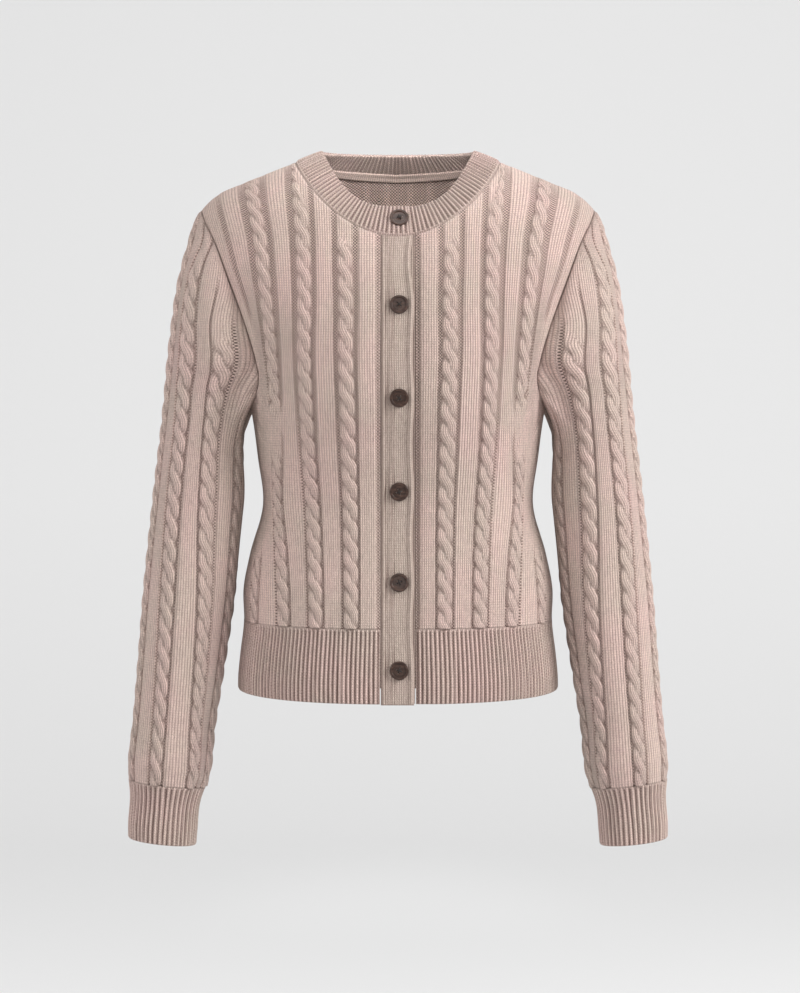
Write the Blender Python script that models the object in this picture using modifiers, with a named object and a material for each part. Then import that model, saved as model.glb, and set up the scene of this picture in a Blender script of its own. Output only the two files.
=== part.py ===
"""Button cardigan, worn-open hollow form: cable-knit body and sleeves, ribbed hem, cuffs and neckband.

Sizes are in millimetres and become metres when a mesh is made.  +Z is up, the fronts face -Y, the wearer's
left side is +X.  The origin lies midway between the two points where the neckband meets the shoulders.
Every panel is a wall: cables and ribs stand up from its outer points, its inside is plain.
"""
import math
from functools import lru_cache

import bmesh
import bpy
import numpy as np
from mathutils import Vector
from mathutils.geometry import delaunay_2d_cdt

MM = 0.001

# ---- cloth and seams
WALL = 1.9                  # from the ground of the knit to the plain inside, at seams
WALL_INNER = 2.4            # the same away from the seams
SLEEVE_WALL_INNER = 2.9
HALF_SEAM = 0.17            # each piece draws back this far from the seam line
LAP = 3.9                   # the left front edge lies this far under the right one
SECTION_POWER = 2 / 2.3     # the body's cross-section is a slightly squared oval

# ---- cables and ribs
TURN = 19.6                 # height of one cable turn on the body
TURN_PHASE = 8.7            # where the first turn stands above the hem rib
SLEEVE_TURN = 20.9
CABLE_HIGH = 3.6
CABLE_LOW = 1.3
PANEL_CROWN = 1.5
FURROW_STEP = 4             # half turns between two points of a furrow
SEAM_EASE = 12.0            # cables flatten over this distance towards a seam
RIB = 1.3                   # height of a rib over its furrow
HEM_RIB_PITCH = 4.0
CUFF_RIB_PITCH = 4.6
NECK_RIB_PITCH = 4.7

# ---- shoulders, neck and front edges
NECK_HALF = 99.0            # half the distance between the neck points
NECK_DROP = 79.3            # front neckline under the neck points
BACK_DROP = 6.0
BAND_HALF = 16.0            # half the width of the front bands
SHOULDER_SLOPE = 0.40
SHOULDER_TIP = 190.0
TIP_ROUND = 165.0           # from here out the shoulder line curves down
SHOULDER_ROUND = 90.0       # height over which front and back roll to the shoulder line
ARM_FOOT = -202.0           # where the armhole edge turns in under the arm
ARMPIT = -235.0
HEM_TOP = -442.0
HEM_TOP_DIP = 5.5
HEM_END = -508.0
HEM_END_DIP = 9.0
CUFF_TOP = -598.0
CUFF_END = -654.0
ARM_LEAN = 0.113            # the sleeves lean out by this slope

BUTTON_HEIGHTS = (-62.3, -145.2, -232.0, -319.0, -404.0, -485.6)
BUTTON_RADIUS = 8.8
BUTTON_GAP = 0.45           # between the cloth's raised lines and a button's back
BUTTON_SHIFT = 1.2          # buttons stand this far towards the wearer's left of the middle

# height, half width, front depth, back depth
BODY = np.array((
    (60, 236, 62, 60), (0, 222, 74, 70), (-46, 210, 82, 82), (-75, 200, 88, 89), (-118, 184, 102, 96),
    (-157, 168, 110, 98), (-202, 149, 112, 95), (-240, 140.5, 110, 90), (-285, 134, 101, 84),
    (-331, 129, 95, 80), (-380, 142, 97, 88), (-412, 148, 101, 95), (-445, 147.5, 104, 100),
    (-475, 151, 106, 102), (-497, 153, 107, 103), (-520, 153, 107, 103)), dtype=float)

# height, distance of each cable from the middle, groove before the side cable, half a cable's width
FRONT_WALES = np.array((
    (35, 52, 98, 148, 186, 10), (-41, 51, 92.7, 138, 173, 10), (-80, 50.2, 89.8, 130, 161, 9.8),
    (-105, 50, 88.5, 127, 153.8, 9.6), (-141, 48.8, 87.5, 122.8, 141.5, 9.4),
    (-189, 48.8, 87.5, 118, 131.5, 9.2), (-237, 47.2, 85.6, 115, 127.8, 9), (-285, 46, 83.3, 114.3, 127.6, 8.6),
    (-332, 44.6, 80, 113.6, 125.6, 8.2), (-380, 44, 78, 110, 128.6, 8), (-427, 43.7, 76.8, 107.4, 131.8, 7.8),
    (-460, 43.6, 76.6, 107, 132, 7.8)), dtype=float)
BACK_WALES = np.array((
    (35, 22.5, 68, 115, 158, 10), (-92, 21.5, 64, 107, 141, 9.8), (-189, 20.5, 61, 101, 125, 9.3),
    (-285, 18.5, 55, 92, 115, 8.6), (-332, 18, 53, 88, 110, 8.2), (-427, 17.5, 52, 87, 116, 7.8),
    (-460, 17.5, 52, 87, 116, 7.8)), dtype=float)

# height, distance of the armhole edge from the middle
ARM_EDGE = np.array((
    (-40, 190.6), (-46, 190), (-57, 186.5), (-77, 176.6), (-98, 168), (-120, 160), (-139, 152.6), (-160, 145),
    (-184, 137.6), (-202, 133)), dtype=float)

# height, outer edge of the sleeve from the middle, half width, half depth, distance forward of the shoulders
SLEEVE = np.array((
    (-40, 188, 12, 12, 0), (-46, 190, 14, 14, 0), (-57, 195.5, 18, 23.6, 0), (-75, 200.8, 26.5, 38.4, 0),
    (-97, 206.6, 37, 51, 1), (-118, 211, 45, 59, 2), (-157, 216.7, 54.7, 64.5, 4), (-202, 222, 57, 61, 5),
    (-218, 223.2, 49.5, 55, 5), (-245, 225.6, 42.2, 51, 6), (-327, 234.4, 42.2, 49, 9),
    (-424, 243.9, 41.7, 46, 15), (-486, 248.4, 39.3, 43.5, 19), (-540, 252.8, 37.3, 41, 22), (-587, 257.4, 36.9, 39.5, 24),
    (-598, 257, 35.2, 37, 24), (-610, 255.8, 32.6, 33.6, 24), (-642, 257.4, 31.6, 32.6, 25),
    (-662, 257, 30.6, 32, 26)), dtype=float)

# angle round the sleeve from its outer edge, height of the armhole there
SLEEVE_CAP = np.array((
    (0, -46), (32, -50), (58, -57), (82, -75), (91, -97), (97, -118), (107, -157), (122, -200), (142, -218),
    (160, -230), (180, -235)), dtype=float)

# height, angle of each cable round the sleeve from its outer edge (front and back are alike)
SLEEVE_WALES = np.array((
    (-40, 28, 76, 100, 140), (-80, 28, 73, 99, 140), (-104, 21, 56, 98, 143), (-123, 17, 50, 94, 146),
    (-157, 17, 47.5, 85, 148), (-191, 18, 49.5, 87, 150), (-220, 19, 54, 94, 152), (-249, 20, 60, 102, 155),
    (-327, 21, 61, 105, 154), (-424, 22, 66.5, 116, 160), (-521, 24, 72.6, 126, 163),
    (-600, 26, 77, 134, 165)), dtype=float)

# name, base colour, roughness
MATERIALS = {
    "knit": ((0.47, 0.34, 0.31), 0.9),
    "knit_rib": ((0.45, 0.33, 0.30), 0.9),
    "band_jersey": ((0.50, 0.38, 0.34), 0.9),
    "tape": ((0.42, 0.31, 0.28), 0.9),
    "horn": ((0.045, 0.028, 0.024), 0.35),
}


def table(rows, height):
    """Smooth values of a table's columns at a height; its first column holds heights from high to low."""
    keys = -rows[:, 0]
    values = rows[:, 1:]
    slopes = np.gradient(values, keys, axis=0)
    at = min(max(-height, keys[0]), keys[-1])
    i = min(int(np.searchsorted(keys, at, side="right")) - 1, len(keys) - 2)
    span = keys[i + 1] - keys[i]
    s = (at - keys[i]) / span
    return ((1 + 2 * s) * (1 - s) ** 2 * values[i] + s * (1 - s) ** 2 * span * slopes[i]
            + s * s * (3 - 2 * s) * values[i + 1] - s * s * (1 - s) * span * slopes[i + 1])


def unit(v):
    """A vector made one long."""
    return v / max(float(np.linalg.norm(v)), 1e-12)


def fade(s):
    """Smooth step from 0 to 1 as s goes from 0 to 1."""
    s = min(max(s, 0.0), 1.0)
    return s * s * (3 - 2 * s)


# ---------------------------------------------------------------- the body's surface

def ridge(x):
    """Height of the shoulder line at a distance from the middle."""
    return -SHOULDER_SLOPE * (abs(x) - NECK_HALF) - 9.5 * max(0.0, (abs(x) - TIP_ROUND) / 25) ** 2


def angle_at(x, height):
    """Angle round the body's oval, from its middle, of a point at distance x."""
    half = table(BODY, height)[0]
    return math.asin(min(1.0, (min(abs(x), half) / half) ** (1 / SECTION_POWER)))


def body_at(front, angle, height):
    """Point of the right half of the body (x negative) at an angle round its oval and a height."""
    half, fore, aft = table(BODY, height)
    x = half * math.sin(angle) ** SECTION_POWER
    depth = (fore if front else aft) * max(math.cos(angle), 0.0) ** SECTION_POWER
    drop = min(max((ridge(x) - height) / SHOULDER_ROUND, 0.0), 1.0)
    depth *= math.sqrt(max(0.0, 1 - (1 - drop) ** 2))
    return np.array((-x, -depth if front else depth, height))


def arc_rate(front, angle, height):
    """Millimetres round the oval for one radian."""
    step = 0.01
    low = max(angle - step, 0.0)
    high = min(angle + step, math.pi / 2)
    return float(np.linalg.norm(body_at(front, high, height) - body_at(front, low, height))) / (high - low)


# nominal distances across a half panel: middle or band seam, both sides of each cable, side seam
FRONT_LINES = (0.0, 21.0, 40.0, 60.0, 79.0, 98.0, 116.0, 135.0, 152.0, 180.0)
BACK_LINES = (0.0, 11.0, 30.0, 50.0, 69.0, 89.0, 108.0, 128.0, 146.0, 190.0)


@lru_cache(maxsize=None)
def line_angles(front, height):
    """Angles round the body of the lines named above."""
    wales = table(FRONT_WALES if front else BACK_WALES, height)
    half = wales[4]
    angles = [angle_at(BAND_HALF, height) if front else 0.0]
    for x in wales[:3]:
        middle = angle_at(x, height)
        reach = half / arc_rate(front, middle, height)
        angles += [middle - reach, middle + reach]
    groove = angle_at(wales[3], height)
    angles += [groove, groove + 2 * half / arc_rate(front, groove, height), math.pi / 2]
    for i in range(1, len(angles)):
        angles[i] = max(angles[i], angles[i - 1] + 0.02)
    return angles


def body_angle(front, u, height):
    """Angle round the body at nominal distance u."""
    return float(np.interp(u, FRONT_LINES if front else BACK_LINES, line_angles(front, height)))


def body_u(front, x, height):
    """Nominal distance of the point at distance x from the middle."""
    lines = FRONT_LINES if front else BACK_LINES
    return float(np.interp(angle_at(x, height), line_angles(front, height), lines))


@lru_cache(maxsize=None)
def column_top(front, u):
    """Height at which the wale u reaches the shoulder line, and its length over the shoulder's round."""
    height = -20.0
    for _ in range(30):
        x = -body_at(front, body_angle(front, u, height), height)[0]
        height = 0.5 * (height + ridge(x))
    depth = abs(body_at(front, body_angle(front, u, height), height - SHOULDER_ROUND)[1])
    return height, math.pi / 2 * math.sqrt((SHOULDER_ROUND ** 2 + depth ** 2) / 2)


def hem_top(front, angle):
    """Height of the seam between body and hem rib."""
    return HEM_TOP - HEM_TOP_DIP * math.cos(angle)


def column_length(front, u):
    """Length of the wale u from the hem seam to the shoulder line."""
    top, round_length = column_top(front, u)
    return top - SHOULDER_ROUND - hem_top(front, body_angle(front, u, HEM_TOP)) + round_length


def height_of(front, u, t):
    """Height of the point t along the wale u."""
    top, round_length = column_top(front, u)
    left = column_length(front, u) - t
    if left < round_length:
        return top - SHOULDER_ROUND * (1 - math.cos(max(left, 0.0) / round_length * math.pi / 2))
    return top - SHOULDER_ROUND - (left - round_length)


def along_of(front, u, height):
    """Distance along the wale u of the point at a height."""
    top, round_length = column_top(front, u)
    drop = max(top - height, 0.0)
    if drop < SHOULDER_ROUND:
        left = math.acos(1 - drop / SHOULDER_ROUND) / (math.pi / 2) * round_length
    else:
        left = round_length + drop - SHOULDER_ROUND
    return column_length(front, u) - left


def body_point(front, u, t):
    """Point of the right half of the body at u across and t up."""
    height = height_of(front, u, t)
    return body_at(front, body_angle(front, u, height), height)


def lapped(point, side):
    """Mirrors a point of the right half to the side +1, and sinks it where the fronts lap."""
    if side < 0:
        return point
    x = -point[0]
    if point[1] > 0:
        return np.array((x, point[1], point[2]))
    sink = LAP * (1 - fade((x - BAND_HALF) / 28))
    return np.array((x, point[1] + sink, point[2]))


# ---------------------------------------------------------------- neckline

def neck_seam(turn):
    """Point of the neck seam at an angle from the middle front, round by the wearer's right."""
    x = NECK_HALF * math.sin(turn)
    front = math.cos(turn) > 0
    height = -(NECK_DROP if front else BACK_DROP) * abs(math.cos(turn)) ** 1.6
    point = body_at(front, angle_at(x, height), height)
    point[0] = -x
    return sink_neck(point, turn)


def neck_edge(turn):
    """Point of the neckband's upper edge at the same angle."""
    across, along = math.sin(turn), math.cos(turn)
    if along > 0:
        point = np.array((-73 * across, 3 - 77 * along, -50 + 61 * abs(across) ** 3))
    else:
        point = np.array((-73 * across, 3 - 36 * along, 11 - 1.5 * along))
    return sink_neck(point, turn)


def sink_neck(point, turn):
    """The left end of the neckband lies under the right end."""
    if turn > math.pi and point[1] < 0:
        x = point[0] if turn < 2 * math.pi else -abs(point[0])
        point[1] += LAP * (1 - fade((x - BAND_HALF) / 28))
    return point


def neck_frame(turn):
    """Point, inward direction and upward direction of the neck seam."""
    step = 0.004
    point = neck_seam(turn)
    along = unit(neck_seam(turn + step) - neck_seam(turn - step))
    band = unit(neck_edge(turn) - point)
    down = unit(body_below_neck(turn) - point)
    up = unit(band - down)
    up = unit(up - along * float(up @ along))
    inward = unit(np.cross(along, up))
    centre = np.array((0.0, -8.0, -60.0))
    if float(inward @ (centre - point)) < 0:
        inward = -inward
    return point, inward, up


def body_below_neck(turn):
    """Point of the body's surface a little away from the neck seam."""
    x = NECK_HALF * math.sin(turn)
    front = math.cos(turn) > 0
    grow = 1.05
    height = -(NECK_DROP if front else BACK_DROP) * abs(math.cos(turn)) ** 1.6 - 5 * abs(math.cos(turn))
    point = body_at(front, angle_at(x * grow, height - 1.5), height - 1.5)
    point[0] = -x * grow
    return sink_neck(point, turn)


# ---------------------------------------------------------------- armhole

def arm_foot_angle(front):
    """Angle round the body where the armhole edge turns in under the arm."""
    return angle_at(table(ARM_EDGE, ARM_FOOT)[0], ARM_FOOT)


def arm_edge(front, height):
    """Point of the armhole at a height, right side."""
    if height >= ARM_FOOT:
        x = float(table(ARM_EDGE, height)[0])
        return body_at(front, angle_at(x, height), height)
    rise = min(max((height - ARMPIT) / (ARM_FOOT - ARMPIT), 0.0), 1.0)
    share = math.sqrt(max(0.0, 1 - (1 - rise) ** 2))
    return body_at(front, math.pi / 2 - share * (math.pi / 2 - arm_foot_angle(front)), height)


def cap_height(angle):
    """Height of the armhole at an angle (degrees) round the sleeve."""
    return float(table(np.column_stack((-SLEEVE_CAP[:, 0], SLEEVE_CAP[:, 1])), -abs(angle))[0])


def sleeve_tube(angle, level):
    """Point of the plain sleeve tube, right side; the angle is positive to the front."""
    outer, half, depth, forward = table(SLEEVE, level)
    a = math.radians(angle)
    tilt = ARM_LEAN * fade((-245 - level) / 80)
    return np.array((-(outer - half) - half * math.cos(a), -forward - depth * math.sin(a),
                     level + tilt * half * math.cos(a)))


@lru_cache(maxsize=None)
def cap_shift(angle):
    """How far the tube is moved to meet the armhole at an angle."""
    height = cap_height(angle)
    return tuple(arm_edge(angle > 0, height) - sleeve_tube(angle, height))


def sleeve_point(angle, level):
    """Point of the right sleeve."""
    height = cap_height(angle)
    share = 1 - fade((height - level) / 75)
    return sleeve_tube(angle, level) + np.array(cap_shift(angle)) * share


def arm_angles():
    """Angles round the sleeve at even steps along half the armhole, from the tip to the armpit."""
    fine = np.linspace(0, 180, 361)
    points = [arm_edge(True, cap_height(a)) for a in fine]
    run = np.concatenate(([0], np.cumsum([np.linalg.norm(q - p) for p, q in zip(points, points[1:])])))
    count = int(round(run[-1] / 11.5))
    return [float(np.interp(run[-1] * k / count, run, fine)) for k in range(count + 1)]


def arm_frame(angle, step=1.5):
    """Point, inward direction and direction away from the sleeve of the armhole, right side."""
    point = arm_edge(angle > 0, cap_height(angle))
    if abs(angle) < 1e-6:
        along = np.array((0.0, -1.0, 0.0))
    elif abs(angle) > 179.9:
        along = np.array((0.0, 1.0, 0.0))
    else:
        sign = 1 if angle > 0 else -1
        near = abs(angle)
        along = unit(arm_edge(angle > 0, cap_height(min(near + step, 180)))
                     - arm_edge(angle > 0, cap_height(max(near - step, 0)))) * sign
    centre = np.array((-141.0, -2.0, -140.0))
    inward = centre - point
    inward = unit(inward - along * float(inward @ along))
    away = unit(np.cross(along, inward))
    if away[0] < 0:
        away = -away
    return point, inward, away


# ---------------------------------------------------------------- walls from points

class Sheet:
    """A wall over a flat pattern: outer points with heights, a plain inside and a rim round its outline."""

    def __init__(self, surface, outward):
        self.surface = surface
        self.outward = outward
        self.flat = []
        self.heights = []
        self.lines = []
        self.outline = []
        self.seams = {}
        self.inside = []
        self.inner_wall = WALL_INNER
        self.joined = {}

    def point(self, u, v, height=0.0):
        self.flat.append((u, v))
        self.heights.append(height)
        return len(self.flat) - 1

    def edge(self, u, v, seams=(), height=0.0, inner=True):
        """Adds the next point of the outline.  Seams are directions into the piece, or whole frames."""
        k = self.point(u, v, height)
        self.outline.append(k)
        self.seams[k] = (list(seams), inner)
        return k

    def line(self, points):
        self.lines += [(a, b) for a, b in zip(points, points[1:])]

    def depth_inside(self, u, v):
        """Distance of a flat point from the outline, negative outside it."""
        ring = np.array([self.flat[k] for k in self.outline])
        after = np.roll(ring, -1, axis=0)
        p = np.array((u, v))
        run = after - ring
        share = np.clip(((p - ring) * run).sum(1) / np.maximum((run * run).sum(1), 1e-9), 0, 1)
        near = np.linalg.norm(ring + run * share[:, None] - p, axis=1).min()
        return float(near) if contains(ring, p) else -float(near)

    def place(self, u, v):
        """Point and outward normal of the surface."""
        step = 0.6
        p = self.surface(u, v)
        du = self.surface(u + step, v) - self.surface(u - step, v)
        dv = self.surface(u, v + step) - self.surface(u, v - step)
        n = unit(np.cross(du, dv))
        return p, n if float(n @ self.outward(p)) > 0 else -n

    def rim(self, k):
        """Outer and inner place of an outline point."""
        seams, _ = self.seams[k]
        if seams and isinstance(seams[0], tuple):
            p, inward, away = seams[0]
            shift = away * HALF_SEAM
            for extra in seams[1:]:
                shift = shift + extra * HALF_SEAM
                inward = unit(inward - extra * float(inward @ extra))
            return p + shift, p + inward * WALL + shift
        p, n = self.place(*self.flat[k])
        inward = -n
        for c in seams:
            inward = inward - c * float(inward @ c)
        inward = unit(inward)
        shift = sum((c * HALF_SEAM for c in seams), np.zeros(3))
        return p - inward * self.heights[k] + shift, p + inward * WALL + shift

    def solid(self, name, material):
        """Builds the closed wall."""
        outer, inner = {}, {}
        for k, flat in enumerate(self.flat):
            if k in self.seams:
                outer[k], inner[k] = self.rim(k)
            else:
                p, n = self.place(*flat)
                outer[k] = p + n * self.heights[k]
        count = len(self.flat)
        for i, flat in enumerate(self.inside):
            p, n = self.place(*flat)
            inner[count + i] = p - n * self.inner_wall
        ring = self.outline
        inner_ring = [k for k in ring if self.seams[k][1]]
        top = triangles(self.flat, list(range(count)), ring, self.lines)
        low = triangles(self.flat + self.inside, inner_ring + [count + i for i in range(len(self.inside))],
                        inner_ring, [])
        verts, index = [], {}

        def vert(layer, k):
            k = self.joined.get(k, k)
            if (layer, k) not in index:
                index[layer, k] = len(verts)
                verts.append((outer if layer else inner)[k] * MM)
            return index[layer, k]

        faces = [[vert(1, k) for k in face] for face in top]
        faces += [[vert(0, k) for k in reversed(face)] for face in low]
        faces += self.rim_faces(ring, vert)
        return make_object(name, verts, faces, material)

    def rim_faces(self, ring, vert):
        """Joins the outer and inner outlines; an inner side may skip points of the outer one."""
        faces = []
        keyed = [i for i, k in enumerate(ring) if self.seams[k][1]]
        for a, b in zip(keyed, keyed[1:] + [keyed[0] + len(ring)]):
            run = [ring[i % len(ring)] for i in range(a, b + 1)]
            if all(k in self.joined or k in self.joined.values() for k in (run[0], run[-1])) \
                    and self.is_closing(run[0], run[-1]):
                continue
            middle = len(run) // 2
            for i in range(len(run) - 1):
                near = run[0] if i < middle else run[-1]
                faces.append([vert(1, run[i + 1]), vert(1, run[i]), vert(0, near)])
            faces.append([vert(0, run[0]), vert(0, run[-1]), vert(1, run[middle])])
        return faces

    def is_closing(self, a, b):
        """True for an outline edge on the line where a tube's pattern closes on itself."""
        across = self.flat[a][0]
        return abs(across - self.flat[b][0]) < 1e-9 and abs(abs(across) - self.closing) < 1e-9

    closing = -1.0


def triangles(flat, used, ring, lines):
    """Triangles of a flat pattern inside its outline, as lists of the caller's point numbers."""
    local = {k: i for i, k in enumerate(used)}
    edges = [(local[a], local[b]) for a, b in zip(ring, ring[1:] + ring[:1])]
    edges += [(local[a], local[b]) for a, b in lines]
    points = [Vector(flat[k]) for k in used]
    found, _, faces, origin, _, _ = delaunay_2d_cdt(points, edges, [], 1, 1e-7, True)
    if len(found) > len(points):
        raise RuntimeError("pattern lines cross")
    outline = np.array([flat[k] for k in ring])
    named = [[used[origin[i][0]] for i in face] for face in faces]
    return [face for face in named if contains(outline, np.mean([flat[k] for k in face], axis=0))]


def contains(ring, p):
    """True where a flat point lies inside a closed outline."""
    after = np.roll(ring, -1, axis=0)
    crossing = (ring[:, 1] > p[1]) != (after[:, 1] > p[1])
    run = after[crossing] - ring[crossing]
    at = ring[crossing][:, 0] + (p[1] - ring[crossing][:, 1]) * run[:, 0] / run[:, 1]
    return bool(np.count_nonzero(p[0] < at) % 2)


def make_object(name, verts, faces, material):
    """Makes one mesh object from points in metres."""
    mesh = bpy.data.meshes.new(name)
    mesh.from_pydata([tuple(v) for v in verts], [], faces)
    bm = bmesh.new()
    bm.from_mesh(mesh)
    bmesh.ops.recalc_face_normals(bm, faces=bm.faces)
    bm.to_mesh(mesh)
    bm.free()
    mesh.shade_smooth()
    mesh.set_sharp_from_angle(angle=math.radians(50))
    obj = bpy.data.objects.new(name, mesh)
    COLLECTION.objects.link(obj)
    mesh.materials.append(MATERIAL[material])
    return obj


def cable(sheet, lines, levels, twist, margin=4.0, dense_from=1e9):
    """A rope between two furrows: lines are the across functions of left furrow, two crests and right furrow.

    Levels are the heights up the cable at half turns.  The crest points are high and low by turns, and each
    is tied to the next lower point of the other crest, so that the lobes lean the way of twist.
    """
    found = []
    for crest, across in enumerate(lines):
        column = []
        for k, level in enumerate(levels):
            furrow = crest in (0, 3)
            if furrow and k % (2 if level > dense_from else FURROW_STEP):
                column.append(None)
                continue
            u = across(level)
            depth = sheet.depth_inside(u, level)
            if depth < margin:
                column.append(None)
                continue
            height = 0.0 if furrow else (CABLE_HIGH if (k + crest) % 2 else CABLE_LOW)
            height *= fade(depth / SEAM_EASE)
            column.append(sheet.point(u, level, height))
        kept = [i for i, p in enumerate(column) if p is not None]
        for a, b in zip(kept, kept[1:]):
            if b - a <= FURROW_STEP:
                sheet.line([column[a], column[b]])
        found.append(column)
    one, two = (found[1], found[2]) if twist > 0 else (found[2], found[1])
    for k in range(1, len(levels)):
        if one[k] is not None and two[k - 1] is not None:
            sheet.line([one[k], two[k - 1]])


def crown(sheet, across, levels, margin=6.0):
    """The rounded middle of a plain panel."""
    column = []
    for level in levels:
        u = across(level)
        depth = sheet.depth_inside(u, level)
        if depth > margin:
            column.append(sheet.point(u, level, PANEL_CROWN * fade(depth / SEAM_EASE)))
    sheet.line(column)


# ---------------------------------------------------------------- body panels

SIDE_STEPS = 7
SHOULDER_STEPS = 9
BAND_SEAM_STEPS = 12
FRONT_NECK_STEPS = 17
BACK_NECK_STEPS = 13
INSIDE_ROWS = (45, 80, 105, 130, 160, 190, 230, 268, 310, 350)   # up the plain inside, closer at the waist

X_IN, Y_IN, Z_IN = (np.array(v, dtype=float) for v in ((1, 0, 0), (0, 1, 0), (0, 0, 1)))


def body_sheet(front, side):
    """Pattern of a half body panel on one side (-1 is the wearer's right)."""
    def surface(u, v):
        return lapped(body_point(front, u, v), side)

    def outward(p):
        return np.array((p[0], p[1], 0.15 * abs(p[0]) if p[2] > -60 else 0.0))
    return Sheet(surface, outward)


def mirrored(v, side):
    """A direction or point of the right side, taken to the given side."""
    return v if side < 0 else v * np.array((-1, 1, 1))


def half_outline(front, side):
    """Outline points of a half panel from the hem's middle end round by the side to the neck: u, t, seams."""
    lines = FRONT_LINES if front else BACK_LINES
    into = -Y_IN if front else Y_IN
    steps = []
    for a, b in zip(lines, lines[1:]):
        steps += [a, (a + b) / 2]
    rows = [(u, 0.0, [Z_IN]) for u in steps[1:]]
    side_u = lines[-1]
    top = along_of(front, side_u, ARMPIT)
    rows.append((side_u, 0.0, [Z_IN, into]))
    rows += [(side_u, top * k / SIDE_STEPS, [into]) for k in range(1, SIDE_STEPS)]
    angles = arm_angles()
    sign = 1 if front else -1
    for i, a in enumerate(reversed(angles)):
        p, inward, away = arm_frame(sign * a)
        u = body_u(front, p[0], p[2]) if i else side_u
        frame = (mirrored(p, side), mirrored(inward, side), mirrored(away, side))
        extra = [into] if i in (0, len(angles) - 1) else []
        rows.append((u, along_of(front, u, p[2]), [frame] + extra))
    for k in range(1, SHOULDER_STEPS):
        x = SHOULDER_TIP + (NECK_HALF - SHOULDER_TIP) * k / SHOULDER_STEPS
        u = body_u(front, x, ridge(x))
        rows.append((u, column_length(front, u), [into]))
    start = math.pi / 2
    end = math.asin(BAND_HALF / NECK_HALF) if front else math.pi
    count = FRONT_NECK_STEPS if front else BACK_NECK_STEPS
    for k in range(count + (1 if front else 0)):
        turn = start + (end - start) * k / count
        p, inward, up = neck_frame(turn if side < 0 else 2 * math.pi - turn)
        x, _, height = neck_seam(turn)
        u = body_u(front, x, height)
        extra = [into] if k == 0 else []
        if front and k == count:
            u = 0.0
            extra = [side * X_IN]
        rows.append((u, along_of(front, u, height), [(p, inward, -up)] + extra))
    return rows


def relief(sheet, front, side, mirror_u=1):
    """Cables, panel crowns and the groove along the armhole of a half panel."""
    lines = FRONT_LINES if front else BACK_LINES
    longest = max(column_length(front, u) for u in (lines[3], lines[5]))
    count = int(longest / (TURN / 2)) + 1
    levels = [TURN_PHASE + TURN / 2 * k for k in range(count)]
    for i in range(1, 8, 2):
        left, right = lines[i], lines[i + 1]
        crests = [left, left + 0.30 * (right - left), left + 0.70 * (right - left), right]
        across = [(lambda level, u=u: mirror_u * u) for u in crests]
        cable(sheet, across, levels, -side * mirror_u)
    coarse = levels[::4]
    for i in range(0, 9, 2):
        middle = 0.5 * (lines[i] + lines[i + 1])
        if i == 0 and not front:
            continue
        crown(sheet, lambda level, u=middle: mirror_u * u, levels[::2] if i == 8 else coarse)


def inside_points(sheet, u_values, t_values, margin=7.0):
    """Coarse points of the plain inside."""
    sheet.inside = [(u, t) for u in u_values for t in t_values if sheet.depth_inside(u, t) > margin]


def front_panel(side):
    """One front, from its band seam to the side seam."""
    sheet = body_sheet(True, side)
    rows = half_outline(True, side)
    sheet.edge(0.0, 0.0, [Z_IN, side * X_IN])
    for u, t, seams in rows:
        sheet.edge(u, t, seams)
    top = rows[-1][1]
    for k in range(BAND_SEAM_STEPS - 1, 0, -1):
        sheet.edge(0.0, top * k / BAND_SEAM_STEPS, [side * X_IN])
    relief(sheet, True, side)
    inside_points(sheet, (25, 55, 85, 115, 140, 165), INSIDE_ROWS + (392, 420, 446, 466))
    sheet.solid("front_left" if side > 0 else "front_right", "knit")


def back_panel():
    """The whole back, u negative on the wearer's left."""
    def surface(u, v):
        p = body_point(False, abs(u), v)
        return p if u >= 0 else p * np.array((-1, 1, 1))
    sheet = Sheet(surface, lambda p: np.array((p[0], p[1], 0.15 * abs(p[0]) if p[2] > -60 else 0.0)))
    right = half_outline(False, -1)
    left = half_outline(False, 1)
    sheet.edge(0.0, 0.0, [Z_IN])
    for u, t, seams in right:
        sheet.edge(u, t, seams)
    p, inward, up = neck_frame(math.pi)
    sheet.edge(0.0, along_of(False, 0.0, -BACK_DROP), [(p, inward, -up)])
    for u, t, seams in reversed(left):
        sheet.edge(-u, t, seams)
    relief(sheet, False, -1)
    relief(sheet, False, -1, mirror_u=-1)
    crown(sheet, lambda level: 0.0, [TURN_PHASE + TURN * 2 * k for k in range(13)])
    across = [s * u for s in (-1, 1) for u in (15, 45, 75, 105, 135, 164)]
    inside_points(sheet, across, INSIDE_ROWS + (392, 420, 446, 468, 486))
    sheet.solid("back", "knit")


# ---------------------------------------------------------------- sleeves, cuffs and hem

ANGLE_SCALE = 0.8           # millimetres of pattern for one degree round the sleeve


def sleeve_surface(side):
    def surface(u, v):
        return mirrored(sleeve_point(wrap(u / ANGLE_SCALE), v), side)
    return surface


def wrap(angle):
    """Keeps an angle in -180 to 180 degrees."""
    return (angle + 180) % 360 - 180 if abs(angle) > 180 else angle


def away_from_arm(side):
    def outward(p):
        outer, half, _, forward = table(SLEEVE, min(p[2], -60.0))
        return np.array((p[0] - side * (outer - half), p[1] + forward, 0.3 * max(0.0, (p[2] + 90) / 30) * 20))
    return outward


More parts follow.
